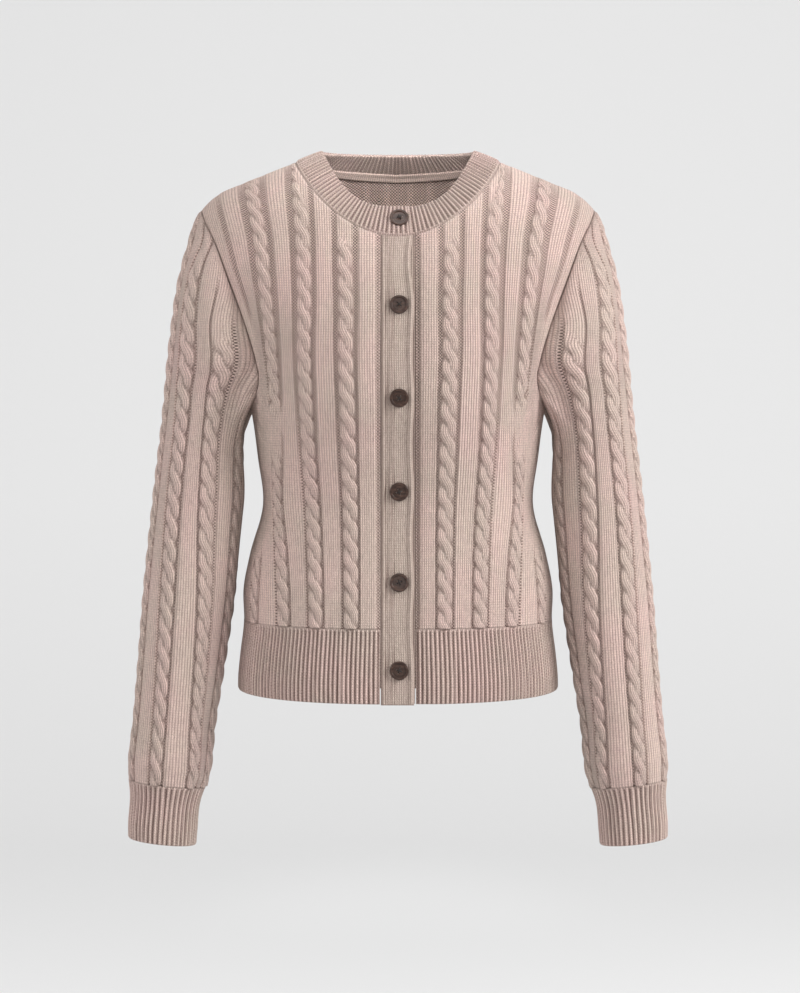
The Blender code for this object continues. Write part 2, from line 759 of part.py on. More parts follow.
def sleeve(side):
    """One sleeve as a tube that closes at the underarm seam."""
    sheet = Sheet(sleeve_surface(side), away_from_arm(side))
    sheet.closing = 180 * ANGLE_SCALE
    ends = [-180 + 360 * k / 20 for k in range(21)]
    axis = unit(np.array((side * ARM_LEAN, -0.03, -1.0)))
    low = [sheet.edge(a * ANGLE_SCALE, CUFF_TOP, [-axis]) for a in ends]
    seam_levels = [CUFF_TOP + (ARMPIT - CUFF_TOP) * k / 8 for k in range(1, 8)]
    right_seam = [sheet.edge(180 * ANGLE_SCALE, v) for v in seam_levels]
    angles = arm_angles()
    around = [-a for a in reversed(angles)] + angles[1:]
    cap = []
    for a in reversed(around):
        p, inward, away = arm_frame(a)
        frame = (mirrored(p, side), mirrored(inward, side), mirrored(-away, side))
        cap.append(sheet.edge(a * ANGLE_SCALE, cap_height(a), [frame]))
    left_seam = [sheet.edge(-180 * ANGLE_SCALE, v) for v in reversed(seam_levels)]
    sheet.joined = {low[-1]: low[0], cap[0]: cap[-1]}
    sheet.joined.update(zip(right_seam, reversed(left_seam)))
    count = int((-46 - CUFF_TOP) / (SLEEVE_TURN / 2))
    levels = [CUFF_TOP + 8 + SLEEVE_TURN / 2 * k for k in range(count)]
    half_angle = lambda level: math.degrees(float(np.interp(level, (-598, -245, -60), (7.6, 8.9, 8.0))) / 45)
    for column in range(4):
        for mirror in (1, -1):
            middle = lambda level, c=column: float(table(SLEEVE_WALES, level)[c])
            shares = (-1, -0.4, 0.4, 1)
            across = [(lambda level, s=s, f=middle, m=mirror:
                       m * (f(level) + s * half_angle(level)) * ANGLE_SCALE) for s in shares]
            cable(sheet, across, levels, -side * mirror, margin=3.0, dense_from=-260)
    coarse = levels[::4]
    crown(sheet, lambda level: 0.0, coarse)
    for column, share in enumerate((0.5, 0.5, 0.33)):
        for mirror in (1, -1):
            def across(level, c=column, s=share, m=mirror):
                wales = table(SLEEVE_WALES, level)
                return m * (wales[c] + s * (wales[c + 1] - wales[c])) * ANGLE_SCALE
            crown(sheet, across, levels[::2] if column == 2 else coarse, margin=4.0)
    inside_points(sheet, [a * ANGLE_SCALE for a in range(-150, 151, 30)],
                  (-530, -460, -390, -330, -280, -252, -228, -206, -184, -158, -128, -98), margin=13.0)
    sheet.inner_wall = SLEEVE_WALL_INNER
    sheet.solid("sleeve_left" if side > 0 else "sleeve_right", "knit")


def cuff(side):
    """One cuff: ribs round a tube, plain at the seam and open at the end."""
    sheet = Sheet(sleeve_surface(side), away_from_arm(side))
    sheet.closing = 180 * ANGLE_SCALE
    circumference = 2 * math.pi * math.sqrt((32 ** 2 + 33 ** 2) / 2)
    ribs = int(round(circumference / CUFF_RIB_PITCH))
    axis = unit(np.array((side * ARM_LEAN, -0.03, -1.0)))
    half_ribs = 2 * ribs
    low = [sheet.edge((-180 + 360 * k / half_ribs) * ANGLE_SCALE, CUFF_END, (), RIB * (k % 2), inner=k % 4 == 0)
           for k in range(half_ribs + 1)]
    top_count = 20
    top = [sheet.edge((180 - 360 * k / top_count) * ANGLE_SCALE, CUFF_TOP, [axis]) for k in range(top_count + 1)]
    sheet.joined = {low[-1]: low[0], top[0]: top[-1]}
    start = [sheet.point((-180 + 360 * k / half_ribs) * ANGLE_SCALE, CUFF_TOP - 8, RIB * (k % 2))
             for k in range(1, half_ribs)]
    sheet.line(start)
    sheet.lines += zip(low[1:-1], start)
    sheet.inside = [(a * ANGLE_SCALE, CUFF_TOP - 14.0) for a in range(-165, 180, 30)]
    sheet.solid("cuff_left" if side > 0 else "cuff_right", "knit_rib")


def hem_angles(front, from_band):
    """Angles round the body at half-rib steps, from the middle or the band seam to the side seam."""
    start = angle_at(BAND_HALF, HEM_TOP) if from_band else 0.0
    fine = np.linspace(start, math.pi / 2, 200)
    points = [body_at(front, a, HEM_TOP) for a in fine]
    run = np.concatenate(([0], np.cumsum([np.linalg.norm(q - p) for p, q in zip(points, points[1:])])))
    count = 4 * int(round(run[-1] / (2 * HEM_RIB_PITCH)))
    return [float(np.interp(run[-1] * k / count, run, fine)) for k in range(count + 1)], run[-1]


def hem_rib(front, side, name):
    """A length of hem rib; side 0 is the back, which spans both sides."""
    angles, length = hem_angles(front, front)
    count = len(angles) - 1
    depth = HEM_TOP - HEM_END

    def surface(u, v):
        a = float(np.interp(abs(u), [length * k / count for k in range(count + 1)], angles))
        bottom = HEM_END - HEM_END_DIP * math.cos(a)
        share = v / depth
        p = body_at(front, a, bottom + (hem_top(front, a) - bottom) * share)
        if side:
            return lapped(p, side)
        return p if u >= 0 else p * np.array((-1, 1, 1))
    sheet = Sheet(surface, lambda p: np.array((p[0], p[1], 0.0)))
    into = -Y_IN if front else Y_IN
    numbers = list(range(count + 1)) if side else list(range(-count, count + 1))
    last = len(numbers) - 1
    ends = {0: [side * X_IN] if side else [into], last: [into]}
    low = []
    for i, k in enumerate(numbers):
        closed = i in ends
        low.append(sheet.edge(length * k / count, 0.0, ends.get(i, ()), 0.0 if closed else RIB * (k % 2),
                              inner=closed or k % 4 == 0))
    seam = [i for i in range(len(numbers)) if numbers[i] % 4 == 0]
    for i in reversed(seam):
        sheet.edge(length * numbers[i] / count, depth, [-Z_IN] + ends.get(i, []))
    start = [sheet.point(length * k / count, depth - 3.0, RIB * (k % 2)) for k in numbers[1:-1]]
    sheet.line(start)
    sheet.lines += zip(low[1:-1], start)
    sheet.inside = [(length * numbers[i] / count, depth * 0.5) for i in seam[2:-2:2]]
    sheet.solid(name, "knit_rib")


# ---------------------------------------------------------------- neckband, tape and front bands

def neck_turns():
    """Angles of the neck seam at half-rib steps, from the upper lapped end round to the lower one."""
    first = -math.asin((BAND_HALF - 1.5) / NECK_HALF)
    last = 2 * math.pi + math.asin((BAND_HALF - 1.0) / NECK_HALF)
    fine = np.linspace(first, last, 700)
    points = [neck_seam(a) for a in fine]
    run = np.concatenate(([0], np.cumsum([np.linalg.norm(q - p) for p, q in zip(points, points[1:])])))
    count = 4 * int(round(run[-1] / (2 * NECK_RIB_PITCH)))
    return [float(np.interp(run[-1] * k / count, run, fine)) for k in range(count + 1)], run[-1]


def neckband():
    """The neckband, a ribbed strip that leans in to its upper edge and laps at the front."""
    turns, length = neck_turns()
    count = len(turns) - 1
    width = 29.0
    places = [length * k / count for k in range(count + 1)]

    def surface(u, v):
        turn = float(np.interp(u, places, turns))
        a, b = neck_seam(turn), neck_edge(turn)
        return a + (b - a) * (v / width)

    def outward(p):
        return np.array((p[0], p[1] + 8, 45.0))
    sheet = Sheet(surface, outward)
    for k in range(0, count + 1, 4):
        p, inward, up = neck_frame(turns[k])
        sheet.edge(places[k], 0.0, [(p, inward, up)])
    high = []
    for k in range(count, -1, -1):
        ends = k in (0, count)
        high.append(sheet.edge(places[k], width, (), 0.0 if ends else RIB * (k % 2), inner=ends or k % 4 == 0))
    start = [sheet.point(places[k], 3.0, RIB * (k % 2)) for k in range(1, count)]
    sheet.line(start)
    sheet.lines += zip(high[-2:0:-1], start)
    sheet.inside = [(places[k], width * 0.5) for k in range(6, count - 4, 6)]
    sheet.inner_wall = WALL
    sheet.solid("neckband", "knit_rib")


def neck_tape():
    """Narrow tape inside the back neck, over the seam from shoulder to shoulder."""
    deep, thick, reach = WALL + 1.0, 1.0, 5.2
    count = 18
    verts, faces = [], []
    for k in range(count + 1):
        turn = math.pi * (0.56 + 0.88 * k / count)
        p, inward, up = neck_frame(turn)
        edge = unit(neck_edge(turn) - neck_seam(turn))
        down = unit(body_below_neck(turn) - neck_seam(turn))
        for toward in (edge, 0 * edge, down):
            for level in (deep, deep + thick):
                verts.append((p + toward * reach + inward * level) * MM)
    for k in range(count):
        a, b = 6 * k, 6 * (k + 1)
        for i, j in ((0, 2), (2, 4), (4, 5), (5, 3), (3, 1), (1, 0)):
            faces.append([a + i, b + i, b + j, a + j])
    for a, flip in ((0, False), (6 * count, True)):
        for face in ([a, a + 2, a + 3, a + 1], [a + 2, a + 4, a + 5, a + 3]):
            faces.append(face[::-1] if flip else face)
    make_object("neck_tape", verts, faces, "tape")


def band_edge(height):
    """Distance past the middle of the upper band's free edge, which waves between the buttons."""
    stops = BUTTON_HEIGHTS[::-1]
    i = min(max(int(np.searchsorted(stops, height)), 1), len(stops) - 1)
    share = (height - stops[i - 1]) / (stops[i] - stops[i - 1])
    wave = math.sin(math.pi * min(max(share, 0.0), 1.0)) ** 2
    return BAND_HALF - 1.0 - (3.6 if i == len(stops) - 1 else 1.6) * wave


def band_levels():
    """Heights of the rows of points down a front band: one at each button, two between them."""
    stops = BUTTON_HEIGHTS[1:]
    levels = [0.5 * (stops[0] - NECK_DROP)]
    for high, low in zip(stops, stops[1:]):
        levels += [high + (low - high) * k / 3 for k in range(3)]
    return levels + [stops[-1], 0.5 * (stops[-1] + HEM_END - HEM_END_DIP)]


def front_band(side):
    """One front band; the wearer's right one lies on top.  Across runs from its seam to its free edge."""
    def surface(u, v):
        x = BAND_HALF - u / (2 * BAND_HALF) * (BAND_HALF + band_edge(v))
        p = body_at(True, angle_at(x, v), v)
        p[0] = -x
        if side > 0:
            p = np.array((x, p[1] + LAP, p[2]))
        return p
    sheet = Sheet(surface, lambda p: np.array((0.0, -1.0, 0.0)))
    into = -side * X_IN
    upper = side < 0
    profile = ((2, 0.5), (4, 0.1), (6, 0.8), (8, 0.2), (11, 0.5), (22, 0.45), (28.5, 0.9)) if upper else \
        ((4, 0.5), (16, 0.3), (28, 0.4))
    levels = band_levels()
    end = HEM_END - HEM_END_DIP - (0.8 if upper else -0.4)
    across = [u for u, _ in profile]
    sheet.edge(0.0, end, [into])
    for u in across:
        sheet.edge(u, end)
    width = 2 * BAND_HALF
    sheet.edge(width, end)
    for v in reversed(levels):
        sheet.edge(width, v)
    for u in [width] + across[::-1] + [0.0]:
        turn = math.asin(side * surface(u, -NECK_DROP)[0] / NECK_HALF)
        p, inward, up = neck_frame(turn if side < 0 else 2 * math.pi - turn)
        extra = [into] if u == 0.0 else []
        sheet.edge(u, float(p[2]), [(p, inward, -up)] + extra)
    for v in levels:
        sheet.edge(0.0, v, [into])
    for u, height in profile:
        sheet.line([sheet.point(u, v, height) for v in [end + 3] + levels[::-1] + [-NECK_DROP - 3]])
    sheet.inside = [(width / 2, v) for v in levels]
    sheet.solid("buttonhole_band" if upper else "button_band", "band_jersey")


# ---------------------------------------------------------------- buttons

def button_mesh():
    """A turned four-hole button with a raised rim: its back at height 0, its face up."""
    steps, hole_radius, hole_ring = 10, 0.95, 2.3
    profile = ((BUTTON_RADIUS - 1.0, 0.0), (BUTTON_RADIUS, 1.6), (7.0, 3.0), (5.2, 1.8), (0.0, 1.5))
    mesh = bpy.data.meshes.new("button_profile")
    points = [(0.0, 0.0, 0.2 * MM)] + [(r * MM, 0.0, h * MM) for r, h in profile]
    mesh.from_pydata(points[::-1], [(i, i + 1) for i in range(len(points) - 1)], [])
    turned = bpy.data.objects.new("button_profile", mesh)
    CUTTERS.objects.link(turned)
    screw = turned.modifiers.new("turn", "SCREW")
    screw.steps = steps
    screw.render_steps = steps
    screw.use_merge_vertices = True
    screw.merge_threshold = 0.00005
    cut = turned.modifiers.new("holes", "BOOLEAN")
    cut.operation = "DIFFERENCE"
    cut.object = hole_cutter(hole_radius, hole_ring)
    bpy.context.view_layer.update()
    made = bpy.data.meshes.new_from_object(turned.evaluated_get(bpy.context.evaluated_depsgraph_get()))
    for spent in (turned, cut.object):
        bpy.data.objects.remove(spent, do_unlink=True)
    bm = bmesh.new()
    bm.from_mesh(made)
    bmesh.ops.triangulate(bm, faces=bm.faces)
    bm.to_mesh(made)
    bm.free()
    made.materials.clear()
    made.materials.append(MATERIAL["horn"])
    return made


def button(number, height, mesh):
    """A button on the upper band or, above the neck seam, on the neckband."""
    if height > -NECK_DROP:
        low, high = neck_seam(0.0), neck_edge(0.0)
        seat = low + (high - low) * (height - low[2]) / (high[2] - low[2])
        slope = unit(high - low)
        proud = RIB
    else:
        seat = body_at(True, 0.0, height)
        slope = unit(body_at(True, 0.0, height + 6) - body_at(True, 0.0, height - 6))
        proud = 0.9
    outward = np.array((0.0, -slope[2], slope[1]))
    obj = bpy.data.objects.new(f"button_{number}", mesh)
    COLLECTION.objects.link(obj)
    obj.location = Vector(seat + outward * (proud + BUTTON_GAP) + X_IN * BUTTON_SHIFT) * MM
    obj.rotation_euler = Vector((0, 0, 1)).rotation_difference(Vector(outward)).to_euler()


def hole_cutter(radius, ring):
    """Four rods that cut a button's thread holes."""
    mesh = bpy.data.meshes.new("button_holes")
    bm = bmesh.new()
    for k in range(4):
        a = math.pi / 4 + k * math.pi / 2
        made = bmesh.ops.create_cone(bm, cap_ends=True, segments=4, radius1=radius * MM, radius2=radius * MM,
                                     depth=12 * MM)
        bmesh.ops.translate(bm, verts=made["verts"], vec=(ring * math.cos(a) * MM, ring * math.sin(a) * MM, 0))
    bm.to_mesh(mesh)
    bm.free()
    obj = bpy.data.objects.new("button_holes", mesh)
    CUTTERS.objects.link(obj)
    obj.hide_render = True
    obj.display_type = "WIRE"
    return obj


def make_material(name, colour, roughness):
    """A plain finish for one kind of cloth or the buttons."""
    material = bpy.data.materials.new(name)
    material.use_nodes = True
    shader = material.node_tree.nodes["Principled BSDF"]
    shader.inputs["Base Color"].default_value = (*colour, 1.0)
    shader.inputs["Roughness"].default_value = roughness
    shader.inputs["Metallic"].default_value = 0.0
    return material


for old in list(bpy.data.objects):
    bpy.data.objects.remove(old, do_unlink=True)
COLLECTION = bpy.data.collections.new("button_cardigan")
CUTTERS = bpy.data.collections.new("cutters")
for group in (COLLECTION, CUTTERS):
    bpy.context.scene.collection.children.link(group)
MATERIAL = {name: make_material(name, *finish) for name, finish in MATERIALS.items()}

for hand in (-1, 1):
    front_panel(hand)
    sleeve(hand)
    cuff(hand)
    front_band(hand)
    hem_rib(True, hand, "hem_rib_front_left" if hand > 0 else "hem_rib_front_right")
back_panel()
hem_rib(False, 0, "hem_rib_back")
neckband()
neck_tape()
BUTTON_MESH = button_mesh()
for order, button_height in enumerate(BUTTON_HEIGHTS, start=1):
    button(order, button_height, BUTTON_MESH)
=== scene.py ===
"""Dressed model of a cable-knit button cardigan, filled out as worn and hollow inside.

Lengths are in millimetres, apart from the studio's and those of finished meshes, which are in metres.  +Z is up,
the buttoned front faces -Y and the wearer's left sleeve is at +X.  Each knitted piece is a thin closed shell:
cables, ribs and channels are modelled in its outer face, and its stitches are bump in its own stitch coordinates,
which are its UV map.
"""
from __future__ import annotations

import logging
import math
from dataclasses import dataclass, field
from enum import Enum
from typing import Any, Callable, Sequence

import bmesh
import bpy
import numpy as np
from mathutils import Matrix, Vector


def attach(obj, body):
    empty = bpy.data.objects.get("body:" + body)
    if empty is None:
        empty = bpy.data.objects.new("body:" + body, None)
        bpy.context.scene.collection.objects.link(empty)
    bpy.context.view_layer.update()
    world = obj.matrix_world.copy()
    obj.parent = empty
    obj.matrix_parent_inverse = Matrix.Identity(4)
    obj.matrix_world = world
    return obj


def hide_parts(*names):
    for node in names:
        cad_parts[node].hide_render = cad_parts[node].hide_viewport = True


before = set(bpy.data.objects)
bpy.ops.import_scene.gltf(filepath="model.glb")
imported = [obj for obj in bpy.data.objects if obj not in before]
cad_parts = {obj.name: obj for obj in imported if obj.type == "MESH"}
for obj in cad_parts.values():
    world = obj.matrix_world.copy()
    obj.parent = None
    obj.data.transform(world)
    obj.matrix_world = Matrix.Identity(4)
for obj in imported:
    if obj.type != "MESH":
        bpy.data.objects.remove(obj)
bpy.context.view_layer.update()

LOG = logging.getLogger("cardigan")
MM = 0.001

# ---- the garment's driving sizes, the same as those of its solids
WALL = 1.9                  # from the ground of the knit to the plain inside
INNER_WALL = 2.4            # the same in the panels
HALF_SEAM = 0.17            # half the gap between two pieces
SEAM_FADE = 3.2             # run in which the relief rises from a seam
SEAM_PAINTED_SHADE = 0.36            # painted shade along a seam, as a share of a furrow's
CREASE_LIMIT = 2.2
LAP = 3.9                   # how far the left front lies behind the right one
SECTION_POWER = 2 / 2.3     # how square the body's section is
NECK_HALF = 99.0
NECK_DROP = 79.3
BACK_DROP = 6.0             # of the back neck under the shoulders, as NECK_DROP is at the front
BAND_HALF = 16.0
NECK_POWER = 1.6            # how square the neckline's curve is
NECK_EDGE_HALF = 73.0
NECK_EDGE_SHIFT = 3.0       # middle of the neckband's upper edge, behind the shoulders
NECK_EDGE_FRONT = 77.0
NECK_EDGE_BACK = 36.0
NECK_EDGE_LOW = -50.0
NECK_EDGE_RISE = 61.0
LAP_FADE = 28.0             # run in which the sunk lap meets the rest of the front
SHOULDER_SLOPE = 0.40
TIP_ROUND = 165.0           # where the shoulder line starts to fall away to its tip
TIP_RUN = 25.0
TIP_FALL = 9.5
SHOULDER_ROUND = 90.0       # depth of the shoulder's rounding under its line
ARM_FOOT = -202.0           # where the armhole turns in under the arm
ARMPIT = -235.0
HEM_TOP = -442.0            # at the side seams, and how much lower in the middle
HEM_TOP_DIP = 5.5
HEM_END = -508.0
HEM_END_DIP = 9.0
CUFF_TOP = -598.0
CUFF_END = -654.0
ARM_LEAN = 0.113            # tilt of the cuff's opening, from the level of the armhole down
ARM_LEAN_TOP = -245.0
ARM_LEAN_RUN = 80.0
ARM_FORWARD = 0.03
CAP_BLEND = 75.0            # run below the armhole in which the sleeve's cap turns into a tube
BUTTON_HEIGHTS = (-62.3, -145.2, -232.0, -319.0, -404.0, -485.6)
BUTTON_RADIUS = 8.8
BUTTON_SHIFT = 1.2
HEM_RIB_PITCH = 4.0
NECK_RIB_PITCH = 4.7

# sides of the cables across each pattern, from its middle to its seam
FRONT_LINES = (0.0, 21.0, 40.0, 60.0, 79.0, 98.0, 116.0, 135.0, 152.0, 180.0)
BACK_LINES = (0.0, 11.0, 30.0, 50.0, 69.0, 89.0, 108.0, 128.0, 146.0, 190.0)
SLEEVE_LINES = (0.0, 8.0, 25.0, 42.0, 59.0, 78.0, 95.0, 112.0, 129.0, 144.0)

BACKWARD, UPWARD = (np.array(v, dtype=float) for v in ((0, 1, 0), (0, 0, 1)))
LEVEL = (1, 1, 0)
SHOULDER_LIFT = np.array((0, 0, 30.0))  # turns outward directions upwards at the shoulders
ARM_CENTRE = (-141.0, -2.0, -140.0)

# ---- grids and stitches: columns over half a channel, and the steps between columns elsewhere
BODY_CHANNEL = (0.0, 0.9, 1.7, 2.5, 3.3)
SLEEVE_CHANNEL = (0.0, 0.75, 1.35, 2.1)
CABLE_STEP = 1.2
PANEL_STEP = 2.6
NODES_AT_ONCE = 3000
STITCH_WIDTH = 2.2
STITCH_HEIGHT = 2.3
UV_PER_MM = 0.01
ON_ROW = 0.01               # a node this near to a row or wale is on it

# place across a front band, width and height of each ridge of the knit; the same for lines of painted shade, with
# their strength for the height
UPPER_RIDGES = ((2.6, 1.2, 0.55), (29.6, 1.5, 2.0))
UPPER_PAINTED_SHADE = ((0.8, 0.9, 0.9), (26.6, 1.0, 0.25))
LOWER_RIDGES = ((3.0, 1.5, 0.25), (30.4, 1.3, 0.35))
LOWER_PAINTED_SHADE = ((1.2, 1.0, 0.8),)

# place across the upper band, depth and wave of each fine furrow
BAND_FURROWS = ((4.9, 0.55, 0.4), (7.6, 0.50, 1.9), (10.4, 0.42, 3.1), (13.2, 0.25, 4.4))

Array = np.ndarray


class Side(Enum):
    """The wearer's side a piece belongs to; the value is the sign of its x."""

    RIGHT = -1
    LEFT = 1


# ---------------------------------------- small maths

def smooth(share: Array | float) -> Array | float:
    """Smooth step from 0 to 1 as share goes from 0 to 1."""
    share = np.clip(share, 0.0, 1.0)
    return share * share * (3 - 2 * share)


def unit(vectors: Array) -> Array:
    """Vectors made one long."""
    return vectors / np.maximum(np.linalg.norm(vectors, axis=-1, keepdims=True), 1e-9)


def bell(place: Array, middle: Array | float, width: float) -> Array:
    """Bell curve of height 1 round a middle."""
    return np.exp(-((place - middle) / width) ** 2)


def arch(place: Array) -> Array:
    """Half circle of height 1 from -1 to 1."""
    return np.sqrt(np.maximum(0.0, 1 - place ** 2))


def every(count: int) -> Array:
    """A choice of all of a count of nodes."""
    return np.ones(count, dtype=bool)


def for_side(base: Array, hand: int) -> Array:
    """Points of the wearer's right side, mirrored where hand is +1, the left."""
    return base * (-hand, 1, 1)


@dataclass(frozen=True)
class Profile:
    """Smooth columns of sizes down a table whose first column holds heights, from high to low."""

    rows: tuple[tuple[float, ...], ...]

    def at(self, height: Array | float) -> Array:
        """Values of the other columns at some heights.

        Args:
            height: heights of any array shape.

        Returns:
            The same shape with one more axis, the columns.
        """
        data = np.array(self.rows, dtype=float)
        keys = -data[:, 0]
        values = data[:, 1:]
        slopes = np.gradient(values, keys, axis=0)
        place = np.clip(-np.asarray(height, dtype=float), keys[0], keys[-1])
        i = np.clip(np.searchsorted(keys, place, side="right") - 1, 0, len(keys) - 2)
        span = (keys[i + 1] - keys[i])[..., None]
        s = (place - keys[i])[..., None] / span
        return ((1 + 2 * s) * (1 - s) ** 2 * values[i] + s * (1 - s) ** 2 * span * slopes[i]
                + s * s * (3 - 2 * s) * values[i + 1] - s * s * (1 - s) * span * slopes[i + 1])


# height, half width, front depth, back depth
BODY = Profile((
    (60, 236, 62, 60), (0, 222, 74, 70), (-46, 210, 82, 82), (-75, 200, 88, 89), (-118, 184, 102, 96),
    (-157, 168, 110, 98), (-202, 149, 112, 95), (-240, 140.5, 110, 90), (-285, 134, 101, 84),
    (-331, 129, 95, 80), (-380, 142, 97, 88), (-412, 148, 101, 95), (-445, 147.5, 104, 100),
    (-475, 151, 106, 102), (-497, 153, 107, 103), (-520, 153, 107, 103)))

# height, distance of each cable from the middle, groove before the side cable, half a cable's width
FRONT_WALES = Profile((
    (35, 52, 98, 148, 186, 10), (-41, 51, 92.7, 138, 173, 10), (-80, 50.2, 89.8, 130, 161, 9.8),
    (-105, 50, 88.5, 127, 153.8, 9.6), (-141, 48.8, 87.5, 122.8, 141.5, 9.4),
    (-189, 48.8, 87.5, 118, 131.5, 9.2), (-237, 47.2, 85.6, 115, 127.8, 9), (-285, 46, 83.3, 114.3, 127.6, 8.6),
    (-332, 44.6, 80, 113.6, 125.6, 8.2), (-380, 44, 78, 110, 128.6, 8), (-427, 43.7, 76.8, 107.4, 131.8, 7.8),
    (-460, 43.6, 76.6, 107, 132, 7.8)))
BACK_WALES = Profile((
    (35, 22.5, 68, 115, 158, 10), (-92, 21.5, 64, 107, 141, 9.8), (-189, 20.5, 61, 101, 125, 9.3),
    (-285, 18.5, 55, 92, 115, 8.6), (-332, 18, 53, 88, 110, 8.2), (-427, 17.5, 52, 87, 116, 7.8),
    (-460, 17.5, 52, 87, 116, 7.8)))

# height, distance of the armhole edge from the middle
ARM_EDGE = Profile((
    (-40, 190.6), (-46, 190), (-57, 186.5), (-77, 176.6), (-98, 168), (-120, 160), (-139, 152.6), (-160, 145),
    (-184, 137.6), (-202, 133)))

# height, outer edge of the sleeve from the middle, half width, half depth, distance forward of the shoulders
SLEEVE = Profile((
    (-40, 188, 12, 12, 0), (-46, 190, 14, 14, 0), (-57, 195.5, 18, 23.6, 0), (-75, 200.8, 26.5, 38.4, 0),
    (-97, 206.6, 37, 51, 1), (-118, 211, 45, 59, 2), (-157, 216.7, 54.7, 64.5, 4), (-202, 222, 57, 61, 5),
    (-218, 223.2, 49.5, 55, 5), (-245, 225.6, 42.2, 51, 6), (-327, 234.4, 42.2, 49, 9),
    (-424, 243.9, 41.7, 46, 15), (-486, 248.4, 39.3, 43.5, 19), (-540, 252.8, 37.3, 41, 22),
    (-587, 257.4, 36.9, 39.5, 24), (-598, 257, 35.2, 37, 24), (-610, 255.8, 32.6, 33.6, 24),
    (-642, 257.4, 31.6, 32.6, 25), (-662, 257, 30.6, 32, 26)))

# minus the angle round the sleeve from its outer edge, height of the armhole there
SLEEVE_CAP = Profile((
    (0, -46), (-32, -50), (-58, -57), (-82, -75), (-91, -97), (-97, -118), (-107, -157), (-122, -200),
    (-142, -218), (-160, -230), (-180, -235)))

# height, angle of each cable round the sleeve from its outer edge
SLEEVE_WALES = Profile((
    (-40, 28, 76, 100, 140), (-80, 28, 73, 99, 140), (-104, 21, 56, 98, 143), (-123, 17, 50, 94, 146),
    (-157, 17, 47.5, 85, 148), (-191, 18, 49.5, 87, 150), (-220, 19, 54, 94, 152), (-249, 20, 60, 102, 155),
    (-327, 21, 61, 105, 154), (-424, 22, 66.5, 116, 160), (-521, 24, 72.6, 126, 163),
    (-600, 26, 77, 134, 165)))


def between_lines(value: Array, xs: Array, ys: Array) -> Array:
    """Linear interpolation where each element has its own rows of xs and ys.

    Args:
        value: where to read, any shape.
        xs: rising stops, value's shape and one more axis, or that axis alone.
        ys: values at the stops, as xs.

    Returns:
        The values read, in value's shape.
    """
    shape = np.shape(value)
    xs = np.broadcast_to(xs, shape + (np.shape(xs)[-1],))
    ys = np.broadcast_to(ys, shape + (np.shape(ys)[-1],))
    i = np.clip((xs <= value[..., None]).sum(-1) - 1, 0, xs.shape[-1] - 2)[..., None]
    x0, x1 = np.take_along_axis(xs, i, -1)[..., 0], np.take_along_axis(xs, i + 1, -1)[..., 0]
    y0, y1 = np.take_along_axis(ys, i, -1)[..., 0], np.take_along_axis(ys, i + 1, -1)[..., 0]
    return y0 + np.clip((value - x0) / np.maximum(x1 - x0, 1e-9), 0, 1) * (y1 - y0)


# ---------------------------------------- the figure

def ridge(x: Array) -> Array:
    """Height of the shoulder line at a distance from the middle."""
    x = np.abs(x)
    return -SHOULDER_SLOPE * (x - NECK_HALF) - TIP_FALL * np.maximum(0.0, (x - TIP_ROUND) / TIP_RUN) ** 2


def angle_at(x: Array, height: Array) -> Array:
    """Angle round the body's oval, from its middle, of a point at distance x."""
    half = BODY.at(height)[..., 0]
    return np.arcsin(np.minimum(1.0, (np.minimum(np.abs(x), half) / half) ** (1 / SECTION_POWER)))


def body_at(front: bool, angle: Array, height: Array) -> Array:
    """Points of the wearer's right half of the body at an angle round its oval and a height."""
    size = BODY.at(height)
    x = size[..., 0] * np.abs(np.sin(angle)) ** SECTION_POWER
    depth = size[..., 1 if front else 2] * np.maximum(np.cos(angle), 0.0) ** SECTION_POWER
    drop = np.clip((ridge(x) - height) / SHOULDER_ROUND, 0.0, 1.0)
    depth = depth * arch(1 - drop)
    return np.stack((-x, -depth if front else depth, height + 0 * x), axis=-1)


def sink(points: Array) -> Array:
    """Sinks points of the wearer's left front where it lies under the right one."""
    moved = points.copy()
    share = 1 - smooth((points[..., 0] - BAND_HALF) / LAP_FADE)
    moved[..., 1] += np.where(points[..., 1] < 0, LAP * share, 0.0)
    return moved


